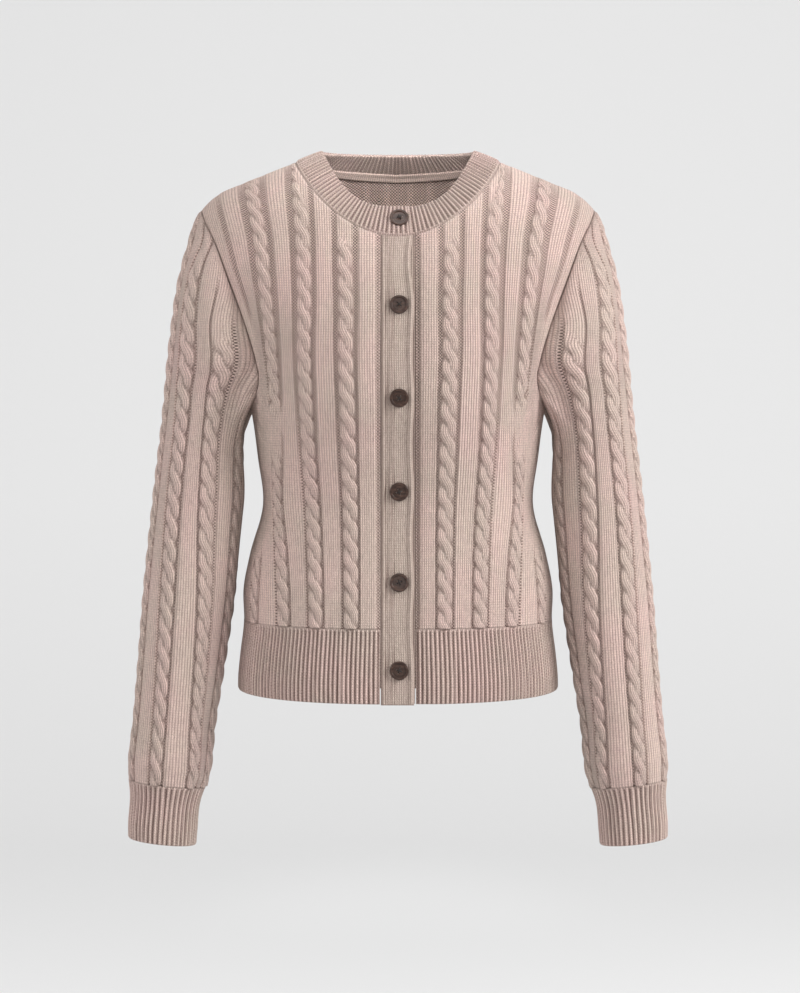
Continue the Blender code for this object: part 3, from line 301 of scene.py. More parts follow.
@dataclass
class BodySurface:
    """Front or back of the body in the knit's own measure: u across its wales, t up from the hem rib."""

    front: bool
    samples: int = 420
    lines: tuple[float, ...] = field(init=False)
    us: Array = field(init=False)
    tops: Array = field(init=False)
    rounds: Array = field(init=False)
    lengths: Array = field(init=False)

    def __post_init__(self) -> None:
        """Works out where each wale reaches the shoulder line."""
        self.lines = FRONT_LINES if self.front else BACK_LINES
        self.us = np.linspace(0, self.lines[-1], self.samples)
        height = np.full(self.samples, -20.0)
        for _ in range(30):
            x = -body_at(self.front, self.angle(self.us, height), height)[:, 0]
            height = 0.5 * (height + ridge(x))
        self.tops = height
        low = height - SHOULDER_ROUND
        depth = np.abs(body_at(self.front, self.angle(self.us, height), low)[:, 1])
        self.rounds = math.pi / 2 * np.sqrt((SHOULDER_ROUND ** 2 + depth ** 2) / 2)
        foot = HEM_TOP - HEM_TOP_DIP * np.cos(self.angle(self.us, np.full(self.samples, HEM_TOP)))
        self.lengths = height - SHOULDER_ROUND - foot + self.rounds

    def line_angles(self, height: Array) -> Array:
        """Angles of the knit's lines (middle, both sides of each cable, side seam) at heights."""
        wales = (FRONT_WALES if self.front else BACK_WALES).at(height)
        half = wales[..., 4]
        angles = [angle_at(np.full_like(height, BAND_HALF if self.front else 0.0), height)]
        for i in range(3):
            middle = angle_at(wales[..., i], height)
            reach = half / self.rate(middle, height)
            angles += [middle - reach, middle + reach]
        groove = angle_at(wales[..., 3], height)
        angles += [groove, groove + 2 * half / self.rate(groove, height), np.full_like(height, math.pi / 2)]
        for i in range(1, len(angles)):
            angles[i] = np.maximum(angles[i], angles[i - 1] + 0.02)
        return np.stack(angles, axis=-1)

    def rate(self, angle: Array, height: Array) -> Array:
        """Millimetres round the plain oval for one radian."""
        low, high = np.maximum(angle - 0.01, 0.0), np.minimum(angle + 0.01, math.pi / 2)
        size = BODY.at(height)
        wide = np.sin(high) ** SECTION_POWER - np.sin(low) ** SECTION_POWER
        deep = np.maximum(np.cos(high), 0.0) ** SECTION_POWER - np.cos(low) ** SECTION_POWER
        return np.hypot(size[..., 0] * wide, size[..., 1 if self.front else 2] * deep) / (high - low)

    def angle(self, u: Array, height: Array) -> Array:
        """Angle round the body of the wale u at a height."""
        return between_lines(u, np.array(self.lines), self.line_angles(height))

    def u_of(self, x: Array, height: Array) -> Array:
        """Wale at distance x from the middle at a height."""
        return between_lines(angle_at(x, height), self.line_angles(height), np.array(self.lines))

    def height(self, u: Array, t: Array) -> Array:
        """Height of the point t along the wale u."""
        top = np.interp(u, self.us, self.tops)
        turn = np.interp(u, self.us, self.rounds)
        left = np.interp(u, self.us, self.lengths) - t
        over = top - SHOULDER_ROUND * (1 - np.cos(np.clip(left / turn, 0, 1) * math.pi / 2))
        return np.where(left < turn, over, top - SHOULDER_ROUND - (left - turn))

    def along(self, u: Array, height: Array) -> Array:
        """Distance along the wale u of the point at a height."""
        drop = np.maximum(np.interp(u, self.us, self.tops) - height, 0.0)
        turn = np.interp(u, self.us, self.rounds)
        over = np.arccos(np.clip(1 - drop / SHOULDER_ROUND, -1, 1)) / (math.pi / 2) * turn
        left = np.where(drop < SHOULDER_ROUND, over, turn + drop - SHOULDER_ROUND)
        return np.interp(u, self.us, self.lengths) - left

    def point(self, u: Array, t: Array) -> Array:
        """Points of the wearer's right half."""
        height = self.height(u, t)
        return body_at(self.front, self.angle(u, height), height)


def neck_seam(turn: Array) -> Array:
    """Points of the neck seam at angles from the middle front, round by the wearer's right."""
    turn = np.asarray(turn, dtype=float)
    x = NECK_HALF * np.sin(turn)
    drop = np.where(np.cos(turn) > 0, NECK_DROP, BACK_DROP)
    height = -drop * np.abs(np.cos(turn)) ** NECK_POWER
    return neck_points(turn, x, height)


def neck_points(turn: Array, x: Array, height: Array) -> Array:
    """Points of the body round the neck at distances from the middle and heights."""
    angle = angle_at(x, height)
    front = (np.cos(turn) > 0)[..., None]
    points = np.where(front, body_at(True, angle, height), body_at(False, angle, height))
    points[..., 0] = -x
    return sink_neck(points, turn)


def neck_edge(turn: Array) -> Array:
    """Points of the neckband's upper edge at the same angles."""
    across, along = np.sin(turn), np.cos(turn)
    rise = NECK_EDGE_LOW + NECK_EDGE_RISE * np.abs(across) ** 3
    front = np.stack((-NECK_EDGE_HALF * across, NECK_EDGE_SHIFT - NECK_EDGE_FRONT * along, rise), axis=-1)
    level = NECK_EDGE_LOW + NECK_EDGE_RISE - 1.5 * along
    back = np.stack((-NECK_EDGE_HALF * across, NECK_EDGE_SHIFT - NECK_EDGE_BACK * along, level), axis=-1)
    return sink_neck(np.where((along > 0)[..., None], front, back), turn)


def sink_neck(points: Array, turn: Array) -> Array:
    """The left end of the neckband lies under the right end."""
    x = np.where(turn < 2 * math.pi, points[..., 0], -np.abs(points[..., 0]))
    under = (turn > math.pi) & (points[..., 1] < 0)
    share = np.where(under, 1 - smooth((x - BAND_HALF) / LAP_FADE), 0.0)
    moved = points.copy()
    moved[..., 1] += LAP * share
    return moved


def arm_edge(front: bool, height: Array) -> Array:
    """Points of the armhole at heights, wearer's right side."""
    foot = angle_at(ARM_EDGE.at(ARM_FOOT)[..., 0], ARM_FOOT)
    x = ARM_EDGE.at(height)[..., 0]
    rise = np.clip((height - ARMPIT) / (ARM_FOOT - ARMPIT), 0.0, 1.0)
    share = arch(1 - rise)
    angle = np.where(height >= ARM_FOOT, angle_at(x, height), math.pi / 2 - share * (math.pi / 2 - foot))
    return body_at(front, angle, height)


def cap_height(angle: Array) -> Array:
    """Height of the armhole at an angle in degrees round the sleeve."""
    return SLEEVE_CAP.at(-np.abs(angle))[..., 0]


def sleeve_tube(angle: Array, level: Array) -> Array:
    """Points of the plain sleeve tube, wearer's right; the angle is positive to the front."""
    size = SLEEVE.at(level)
    outer, half, depth, forward = (size[..., i] for i in range(4))
    a = np.radians(angle)
    tilt = ARM_LEAN * smooth((ARM_LEAN_TOP - level) / ARM_LEAN_RUN)
    return np.stack((-(outer - half) - half * np.cos(a), -forward - depth * np.sin(a),
                     level + tilt * half * np.cos(a)), axis=-1)


def sleeve_at(angle: Array, level: Array) -> Array:
    """Points of the wearer's right sleeve, joined to the armhole at its cap."""
    height = cap_height(angle)
    edge = np.where((angle > 0)[..., None], arm_edge(True, height), arm_edge(False, height))
    shift = edge - sleeve_tube(angle, height)
    share = 1 - smooth((height - level) / CAP_BLEND)
    return sleeve_tube(angle, level) + shift * share[..., None]


def from_arm(points: Array, level: Array, hand: int) -> Array:
    """Level directions from the middle of the sleeve's tube to points."""
    size = SLEEVE.at(level)
    return np.stack((points[..., 0] - hand * (size[..., 0] - size[..., 1]), points[..., 1] + size[..., 3],
                     np.zeros_like(level)), axis=-1)


def arm_axis(hand: int) -> Array:
    """Direction down the sleeve at its cuff."""
    return unit(np.array((hand * ARM_LEAN, -ARM_FORWARD, -1.0)))


def sleeve_lines(level: Array) -> Array:
    """Angles of the sleeve's lines (outer edge, both sides of each cable, underarm seam) at levels."""
    wales = SLEEVE_WALES.at(level)
    half = np.degrees(np.interp(level, (-598, -245, -60), (7.6, 8.9, 8.0)) / 45)
    found = [np.zeros_like(level)]
    for i in range(4):
        found += [wales[..., i] - half, wales[..., i] + half]
    found.append(np.full_like(level, 180.0))
    for i in range(1, len(found)):
        found[i] = np.maximum(found[i], found[i - 1] + 1.0)
    return np.stack(found, axis=-1)


# ---------------------------------------- knit relief

@dataclass
class Relief:
    """What a knit does at each point.

    `height` is in millimetres over the base, `purl` the share of purl ground, `across` the stitch coordinate over
    the wales and `hollow` the strength of painted shade in furrows, creases and seams, from 0 to 1.
    """

    height: Array
    purl: Array
    across: Array
    hollow: Array


@dataclass(frozen=True)
class CableKnit:
    """Rope cables between purl channels on a plain ground.

    Lengths are in millimetres.  A row of `widths` is a height and half a channel's width there.  A row of `faded`
    is a line and the heights between which its channel is gone.  A row of `plain` is a cable and the heights
    between which it has no rope, and one of `tops` a cable and its plain length under the seam.  In shares of half
    a cable's width, a strand is `girth` thick to each side and swings by `swing`; it lies straight for the share
    `rest` of its period at each turn.
    """

    period: float = 19.6
    phase: float = 10.0
    swing: float = 0.43
    rest: float = 0.06
    girth: float = 0.60
    strand: float = 2.2
    base: float = 0.85
    panel: float = 1.6
    widths: tuple[tuple[float, float], ...] = ((110.0, 0.75), (200.0, 1.35), (300.0, 2.1))
    edge: float = 1.05
    bead: float = 0.32
    faded: tuple[tuple[int, float, float], ...] = ()
    plain: tuple[tuple[int, float, float], ...] = ()
    tops: tuple[tuple[int, float], ...] = ()
    ease: float = 12.0
    first_channel: float = -9.0

    def between(self, t: Array, low: float, high: float) -> Array:
        """1 between two heights and 0 beyond them, with soft ends."""
        run = 2 * self.ease
        return smooth((t - low + self.ease) / run) * smooth((high + self.ease - t) / run)

    def ropes(self, w: Array, t: Array, half: Array) -> tuple[Array, Array, Array]:
        """Height of two crossing strands, the visible one's place and the painted shade of the crease between
        them.
        """
        s = np.mod((self.phase - t) / self.period, 1.0)
        run = 1 - 2 * self.rest
        share = np.clip((s - self.rest) / run, 0, 1)
        place = self.swing * (2 * smooth(share) - 1)
        slope = 2 * self.swing * 6 * share * (1 - share) / run * half / self.period
        lean = 1 / np.sqrt(1 + slope ** 2)
        crossing = np.sin(math.pi * s)
        over = arch((w - place) * lean / self.girth) * (1 + 0.40 * crossing)
        under = arch((w + place) * lean / self.girth) * (1 - 0.80 * crossing)
        rope = np.maximum(over, under)
        # painted shade where the two strands cross and in the low valleys beside the rope
        both = bell(over, under, 0.16) * smooth(crossing / 0.35)
        low = smooth((0.62 - rope) / 0.45)
        return rope, np.where(over >= under, place, -place), np.maximum(0.9 * both, 0.4 * low)

    def relief(self, u: Array, t: Array, lines: Sequence[float], right: Array | float,
               left_over: Array) -> Relief:
        """Heights of the knit.

        Args:
            u: distance across the wales, from the middle outwards.
            t: distance up the wales.
            lines: the wale lines; each cable lies between an odd line and the next.
            right: +1 where u grows to the right as seen from outside, otherwise -1.
            left_over: distance up the wale to the seam that ends it.

        Returns:
            The relief.
        """
        u, t = np.broadcast_arrays(u, t)
        stops = np.array(lines)
        gap = np.abs(u[..., None] - stops[1:-1])
        nearest = gap.argmin(-1) + 1
        channel = np.interp(t, *zip(*self.widths))
        sunk = 1 - smooth((gap.min(-1) - channel) / self.edge)
        for line, low, high in self.faded:
            sunk = np.where(nearest == line, sunk * (1 - self.between(t, low, high)), sunk)
        sunk = np.maximum(sunk, 1 - smooth((np.abs(u - self.first_channel) - 1.1) / self.edge))
        k = np.clip(np.searchsorted(stops, u, side="right") - 1, 0, len(stops) - 2)
        is_cable = k % 2 == 1
        middle = 0.5 * (stops[k] + stops[k + 1])
        half = 0.5 * (stops[k + 1] - stops[k]) - channel + 0.1
        w = (u - middle) / half * right
        rope, place, crease = self.ropes(w, t, half)
        plain_top = np.full_like(u, 7.0)
        for cable, length in self.tops:
            plain_top = np.where(k == cable, length, plain_top)
        twist = smooth((left_over - plain_top) / 12)
        for cable, low, high in self.plain:
            twist = np.where(k == cable, twist * (1 - self.between(t, low, high)), twist)
        twist = np.where(is_cable, twist, 0.0)
        ground = self.panel + 0.15 * np.cos(math.pi * np.clip(w, -1, 1))
        ground = ground + self.bead * bell(gap.min(-1), channel + self.edge + 0.1, 0.8)
        height = (1 - sunk) * (ground + (self.base + self.strand * rope - ground) * twist)
        across = u - np.where(is_cable & (sunk < 0.5), place * half * right * twist, 0.0)
        # painted shade: a little over the purl channels, more in the creases of the cables
        hollow = np.maximum(0.25 * sunk, 0.95 * crease * twist * (1 - 0.8 * sunk))
        return Relief(height, sunk, across, hollow)


@dataclass(frozen=True)
class Crease:
    """A soft trough in the cloth: place and turn in the knit's own measure, degrees from the wale."""

    u: float
    t: float
    turn: float
    length: float
    width: float
    depth: float

    def at(self, u: Array, t: Array) -> Array:
        """Depth of the trough, with a low ridge beside it."""
        a = math.radians(self.turn)
        du, dt = u - self.u, t - self.t
        along = du * math.sin(a) + dt * math.cos(a)
        across = (du * math.cos(a) - dt * math.sin(a)) / self.width
        trough = bell(across, 0.0, 1.0) - 0.45 * bell(across, 1.7, 1.0)
        return -self.depth * bell(along, 0.0, self.length) * trough


# ---------------------------------------- shells

@dataclass(frozen=True)
class Cut:
    """A seam on one side of a grid: its nodes, the way into the hollow and the way back from the seam line."""

    side: str
    nodes: Array
    away: Array
    inward: Array | None = None


@dataclass
class Shell:
    """A closed thin wall over a grid of points: relief outside, a coarser plain face inside."""

    name: str
    base: Array
    relief: Relief
    rows_along: Array
    outward: Array
    cuts: list[Cut] = field(default_factory=list)
    inner_depth: float | Array = WALL
    skip_rows: int = 6
    skip_columns: int = 3
    wraps: bool = False
    # painted shade on the inner face, and how much of the inside's look it takes: purl stitches and a lighter
    # colour painted as light
    inner_painted_shade: float | Array = 0.30
    inside_purl_and_painted_light: float = 1.0

    def normals(self) -> Array:
        """Outward normals of the base surface."""
        ring = np.concatenate((self.base[:, -1:], self.base, self.base[:, :1]), axis=1) if self.wraps else None
        across = ring[:, 2:] - ring[:, :-2] if self.wraps else np.gradient(self.base, axis=1)
        normal = unit(np.cross(across, np.gradient(self.base, axis=0)))
        return normal if np.sum(normal * self.outward) > 0 else -normal

    def build(self) -> bpy.types.Object:
        """Makes the mesh object.

        Returns:
            The object, at the origin, with its stitch coordinates and knit attributes.
        """
        rows, columns = self.base.shape[:2]
        normal = self.normals()
        inward, shift = -normal, np.zeros_like(normal)
        for cut in self.cuts:
            self.apply(cut, inward, shift)
        depth = self.inner_depth if np.ndim(self.inner_depth) == 0 else self.inner_depth[..., None]
        outer = self.base + normal * self.relief.height[..., None] + shift
        inner = self.base + inward * depth + shift
        row_keys = self.keys(rows, self.skip_rows, False)
        column_keys = self.keys(columns, self.skip_columns, self.wraps)
        ids = np.arange(rows * columns).reshape(rows, columns)
        inner_ids = rows * columns + np.arange(len(row_keys) * len(column_keys))
        inner_ids = inner_ids.reshape(len(row_keys), len(column_keys))
        pick = np.ix_(row_keys, column_keys)
        points = np.concatenate((outer.reshape(-1, 3), inner[pick].reshape(-1, 3))) * MM
        faces = self.quads(ids, self.wraps) + [f[::-1] for f in self.quads(inner_ids, self.wraps)]
        faces += self.rim(ids, inner_ids, row_keys, column_keys)
        mesh = bpy.data.meshes.new(self.name)
        mesh.from_pydata(points.tolist(), [], faces)
        if self.faces_inwards(mesh, normal):
            mesh.flip_normals()
        self.write(mesh, "purl", self.relief.purl, pick, 0.0)
        # the hollow attribute is painted shade; the inside attribute gives purl stitches and a lighter colour that
        # is painted light
        self.write(mesh, "hollow", self.relief.hollow, pick, self.inner_painted_shade)
        self.write(mesh, "inside", np.zeros((rows, columns)), pick, self.inside_purl_and_painted_light)
        flat = np.stack((self.relief.across, self.rows_along), axis=-1)
        flat = np.concatenate((flat.reshape(-1, 2), flat[pick].reshape(-1, 2)))
        layer = mesh.uv_layers.new(name="stitches")
        corner = np.empty(len(mesh.loops), dtype=np.int32)
        mesh.loops.foreach_get("vertex_index", corner)
        layer.data.foreach_set("uv", (flat[corner] * UV_PER_MM).astype(np.float32).ravel())
        mesh.shade_smooth()
        return link(self.name, mesh)

    @staticmethod
    def apply(cut: Cut, inward: Array, shift: Array) -> None:
        """Draws one side of the grid back from its seam and turns its rim to the neighbour's."""
        place = {"left": (slice(None), 0), "right": (slice(None), -1), "bottom": (0,), "top": (-1,)}[cut.side]
        away = np.broadcast_to(cut.away, inward[place].shape)
        if cut.inward is None:
            turned = inward[place] - away * np.sum(inward[place] * away, axis=-1, keepdims=True)
        else:
            turned = cut.inward
        nodes = cut.nodes[:, None]
        inward[place] = np.where(nodes, unit(turned), inward[place])
        shift[place] += np.where(nodes, away * HALF_SEAM, 0.0)

    @staticmethod
    def keys(count: int, skip: int, wraps: bool) -> list[int]:
        """Every skip-th index, and the last one of an open run."""
        found = list(range(0, count, skip))
        if not wraps and found[-1] != count - 1:
            found.append(count - 1)
        return found

    @staticmethod
    def quads(ids: Array, wraps: bool) -> list[list[int]]:
        """Faces of a grid of point numbers."""
        if wraps:
            ids = np.concatenate((ids, ids[:, :1]), axis=1)
        corners = (ids[:-1, :-1], ids[:-1, 1:], ids[1:, 1:], ids[1:, :-1])
        return np.stack(corners, axis=-1).reshape(-1, 4).tolist()

    def rim(self, outer: Array, inner: Array, row_keys: list[int], column_keys: list[int]) -> list[list[int]]:
        """Faces that join the two layers round the open edges."""
        faces: list[list[int]] = []

        def join(fine: Array, coarse: Array, keys: list[int], turn: int) -> None:
            """Joins one side, wound forwards or, with a turn of -1, backwards."""
            for a, b, near_a, near_b in zip(keys, keys[1:], coarse, coarse[1:]):
                middle = (a + b) // 2
                run = [[int(fine[i + 1]), int(fine[i]), int(near_a if i < middle else near_b)]
                       for i in range(a, b)]
                run.append([int(near_a), int(near_b), int(fine[middle])])
                faces.extend(f[::turn] for f in run)

        if self.wraps:
            closed = column_keys + [outer.shape[1]]
            for row, turn in ((0, 1), (-1, -1)):
                join(np.append(outer[row], outer[row, 0]), np.append(inner[row], inner[row, 0]), closed, turn)
            return faces
        join(outer[0], inner[0], column_keys, 1)
        join(outer[:, -1], inner[:, -1], row_keys, 1)
        join(outer[-1], inner[-1], column_keys, -1)
        join(outer[:, 0], inner[:, 0], row_keys, -1)
        return faces

    def faces_inwards(self, mesh: bpy.types.Mesh, normal: Array) -> bool:
        """True where the outer layer's faces point against its normals."""
        rows, columns = normal.shape[:2]
        width = columns if self.wraps else columns - 1
        turns = [float(np.dot(mesh.polygons[i * width + k].normal, normal[i, k]))
                 for i in range(0, rows - 1, 9) for k in range(0, width - 1, 9)]
        return sum(turns) < 0

    @staticmethod
    def write(mesh: bpy.types.Mesh, name: str, values: Array, pick: Any, inside: float | Array) -> None:
        """Stores a number for each point; those of the inside are one number or a grid of them."""
        layer = mesh.attributes.new(name, "FLOAT", "POINT")
        within = np.broadcast_to(inside, values.shape)[pick].ravel()
        data = np.concatenate((values.ravel(), within)).astype(np.float32)
        layer.data.foreach_set("value", data)


@dataclass
class Patch:
    """Grid of a pattern piece: columns follow the wales, rows lean towards its top outline."""

    columns: Array
    split: float
    span: float
    top: Callable[[Array], Array]
    right: Array
    left: Array
    stops: Sequence[float]
    bottom: float = 0.0
    step: float = 1.5
    strip: float = 14.0

    def to_row(self, u: Array, t: Array) -> Array:
        """Row coordinate of a place."""
        lowered = self.split + (t - self.split) * self.span / (self.top(u) - self.split)
        return np.where(t > self.split, lowered, t)

    def to_t(self, u: Array, row: Array) -> Array:
        """Height along the wale of a place in a row."""
        lifted = self.split + (row - self.split) * (self.top(u) - self.split) / self.span
        return np.where(row > self.split, lifted, row)

    def side(self, outline: Array, rows: Array) -> Array:
        """Where an outline of u and t crosses the rows."""
        places = self.to_row(outline[:, 0], outline[:, 1])
        order = np.argsort(places)
        return np.interp(rows, places[order], outline[order, 0])

    def levels(self) -> Array:
        """Rows, closer where an outline is nearly level."""
        ends = sorted({self.bottom, *self.stops, self.split + self.span})
        found = [ends[0]]
        for low, high in zip(ends, ends[1:]):
            fine = np.linspace(low, high, 600)
            run = np.diff(fine)
            for outline in (self.left, self.right):
                run = np.maximum(run, 0.6 * np.abs(np.diff(self.side(outline, fine))))
            total = np.concatenate(([0.0], np.cumsum(run)))
            count = max(1, int(round(total[-1] / self.step)))
            found += list(np.interp(np.linspace(0, total[-1], count + 1)[1:], total, fine))
        return np.array(found)

    def grid(self) -> tuple[Array, Array, Array]:
        """Places of the grid.

        Returns:
            u and t of each node, and each row's coordinate.
        """
        rows = self.levels()
        low = self.side(self.left, rows)[:, None]
        high = self.side(self.right, rows)[:, None]
        c = self.columns[None, :]
        first, last = c[0, 0], c[0, -1]
        bend_low, bend_high = low + self.strip, high - self.strip
        u = np.where(c < bend_low, low + (c - first) * self.strip / np.maximum(bend_low - first, 1e-6), c)
        squeezed = bend_high + (c - bend_high) * self.strip / np.maximum(last - bend_high, 1e-6)
        u = np.where(c > bend_high, squeezed, u)
        return u, self.to_t(u, rows[:, None]), rows


def outline_distance(u: Array, t: Array) -> Array:
    """Distance of each node of a grid from its top and sides, in the pattern's own measure."""
    flat = np.stack((u, t), axis=-1)
    outline = np.concatenate((flat[-1], flat[:, 0], flat[:, -1]))
    nodes = flat.reshape(-1, 2)
    found = np.empty(len(nodes))
    for start in range(0, len(nodes), NODES_AT_ONCE):
        gap = nodes[start:start + NODES_AT_ONCE, None] - outline[None]
        found[start:start + NODES_AT_ONCE] = np.sqrt((gap * gap).sum(-1).min(1))
    return found.reshape(u.shape)


def wale_columns(lines: Sequence[float], steps: Sequence[float]) -> Array:
    """Places of a grid's columns: at the sides of each channel, close on cables, wide on plain panels."""
    places = [lines[0]]
    for k, (a, b) in enumerate(zip(lines, lines[1:])):
        low = a + (steps[-1] if k else 0.0)
        high = b - (steps[-1] if k < len(lines) - 2 else 0.0)
        if k:
            places += [a - x for x in reversed(steps[1:])] + [a + x for x in steps]
        count = int(round((high - low) / (CABLE_STEP if k % 2 else PANEL_STEP)))
        places += [low + (high - low) * i / count for i in range(1, count)]
    places.append(lines[-1])
    return np.array(places)


def arm_cut(base: Array, side: str, nodes: Array, hand: int) -> Cut:
    """Seam of the armhole on one side of a grid, the same for the body and the sleeve."""
    edge, near = {"left": (base[:, 0], base[:, 1]), "right": (base[:, -1], base[:, -2]),
                  "top": (base[-1], base[-2])}[side]
    along = np.zeros_like(edge)
    along[nodes] = unit(np.gradient(edge[nodes], axis=0))
    toward = np.array(ARM_CENTRE) * (-hand, 1, 1) - edge
    inward = unit(toward - along * np.sum(toward * along, axis=-1, keepdims=True))
    away = unit(np.cross(along, inward))
    if np.sum((away * (near - edge))[nodes]) < 0:
        away = -away
    return Cut(side, nodes, away, inward)


def neck_cut(base: Array, side: str, nodes: Array, hand: int, front: bool) -> Cut:
    """Seam of the neckline on one side of a body panel."""
    edge = {"left": base[:, 0], "top": base[-1]}[side]
    share = np.clip(np.abs(edge[:, 0]) / NECK_HALF, 0, 1)
    turn = np.arcsin(share) if front else math.pi - np.arcsin(share)
    _, inward, up = neck_frame(np.where(edge[:, 0] > 0, 2 * math.pi - turn, turn) if hand == 0
                               else turn if hand < 0 else 2 * math.pi - turn)
    return Cut(side, nodes, -up, inward)


# ---------------------------------------- seams

def body_below_neck(turn: Array) -> Array:
    """Points of the body's surface a little away from the neck seam."""
    grow, lower = 1.05, 5
    fall = np.abs(np.cos(turn))
    drop = np.where(np.cos(turn) > 0, NECK_DROP, BACK_DROP)
    return neck_points(turn, NECK_HALF * np.sin(turn) * grow, -drop * fall ** NECK_POWER - lower * fall - 1.5)


def neck_frame(turn: Array) -> tuple[Array, Array, Array]:
    """Points, inward directions and upward directions of the neck seam."""
    step = 0.004
    turn = np.asarray(turn, dtype=float)
    point = neck_seam(turn)
    along = unit(neck_seam(turn + step) - neck_seam(turn - step))
    up = unit(unit(neck_edge(turn) - point) - unit(body_below_neck(turn) - point))
    up = unit(up - along * np.sum(up * along, axis=-1, keepdims=True))
    inward = unit(np.cross(along, up))
    toward = np.array((0.0, -8.0, -60.0)) - point
    return point, np.where(np.sum(inward * toward, axis=-1, keepdims=True) < 0, -inward, inward), up


# ---------------------------------------- panels

def cloth_relief(cable: CableKnit, u: Array, t: Array, lines: Sequence[float], right: Array | float,
                 left_over: Array, creases: Sequence[Crease], signed_u: Array | None = None,
                 ease: Array | float = 1.0) -> Relief:
    """Cables on a ground, faded at the outline, with the cloth's soft creases."""
    found = cable.relief(u, t, lines, right, left_over)
    across = u if signed_u is None else signed_u
    fade = smooth(outline_distance(across, t) / SEAM_FADE)
    soft = sum((crease.at(across, t) for crease in creases), np.zeros_like(t))
    found.height = (found.height * ease + np.maximum(soft, -CREASE_LIMIT)) * fade
    # painted shade, weaker where the shoulder pulls the knit smooth, and along the seams where the relief fades
    # out
    found.hollow = np.maximum(found.hollow * (0.35 + 0.65 * ease), SEAM_PAINTED_SHADE * (1 - smooth(fade / 0.45)))
    found.purl = found.purl * ease
    return found


@dataclass
class FrontPanel:
    """One front, from its band seam to the side seam."""

    side: Side
    creases: tuple[Crease, ...]
    cable: CableKnit = CableKnit(
        faded=((5, 181.0, 212.0), (6, 128.0, 216.0), (7, 68.0, 288.0), (8, 46.0, 999.0)), first_channel=2.3,
        plain=((7, 62.0, 999.0), (5, 158.0, 206.0)), tops=((1, 19.0), (3, 30.0), (5, 8.0)))
    split: float = 200.0
    span: float = 300.0
    band_columns: tuple[float, ...] = (0.0, 0.8, 1.6, 2.4, 3.2, 4.0, 4.8)
    surface: BodySurface = field(default_factory=lambda: BodySurface(True))

    @property
    def name(self) -> str:
        """Name of the node that the panel stands for."""
        return f"front_{self.side.name.lower()}"

    def outlines(self) -> tuple[Array, Array, float, float]:
        """Left and right outlines as u and t, and the rows where neckline and armhole begin."""
        surface = self.surface
        x = np.linspace(BAND_HALF, NECK_HALF, 400)
        height = -NECK_DROP * np.maximum(1 - (x / NECK_HALF) ** 2, 0.0) ** (NECK_POWER / 2)
        u = surface.u_of(x, height)
        neck = np.stack((u, surface.along(u, height)), axis=-1)
        neck[0, 0] = 0.0
        height = armhole_heights()
        u = surface.u_of(np.abs(arm_edge(True, height)[:, 0]), height)
        u[0] = FRONT_LINES[-1]
        arm = np.stack((u, surface.along(u, height)), axis=-1)
        left = np.concatenate((((0.0, 0.0),), neck))
        right = np.concatenate((((FRONT_LINES[-1], 0.0),), arm))
        return left, right, neck[0, 1], arm[0, 1]

    def build(self) -> bpy.types.Object:
        """Makes the panel."""
        surface, hand = self.surface, self.side.value
        left, right, neck_t, arm_t = self.outlines()
        columns = wale_columns(FRONT_LINES, BODY_CHANNEL)
        columns = np.concatenate((self.band_columns, columns[columns > 6.5]))
        patch = Patch(columns, self.split, self.span,
                      lambda u: np.interp(u, surface.us, surface.lengths), right, left, ())
        neck_row = float(patch.to_row(np.array(0.0), np.array(neck_t)))
        arm_row = float(patch.to_row(np.array(FRONT_LINES[-1]), np.array(arm_t)))
        patch.stops = (neck_row, arm_row)
        u, t, rows = patch.grid()
        base = surface.point(u, t)
        if hand > 0:
            base = sink(for_side(base, hand))
        limit = np.interp(u, left[1:, 0], left[1:, 1])
        limit = np.where(u > left[-1, 0], patch.top(u), limit)
        found = cloth_relief(self.cable, u, t, FRONT_LINES, float(hand), limit - t, self.creases,
                             ease=shoulder_ease(patch.top(u) - t))
        low, high = rows <= arm_row + ON_ROW, rows >= arm_row - ON_ROW
        under_neck, at_neck = rows <= neck_row + ON_ROW, rows >= neck_row - ON_ROW
        cuts = [neck_cut(base, "left", at_neck, hand, True), arm_cut(base, "right", high, hand),
                Cut("left", under_neck, np.array((float(hand), 0, 0))), Cut("right", low, -BACKWARD),
                Cut("top", every(u.shape[1]), -BACKWARD), Cut("bottom", every(u.shape[1]), UPWARD)]
        outward = base * LEVEL + SHOULDER_LIFT
        return Shell("cloth_" + self.name, base, found, t, outward, cuts, INNER_WALL).build()


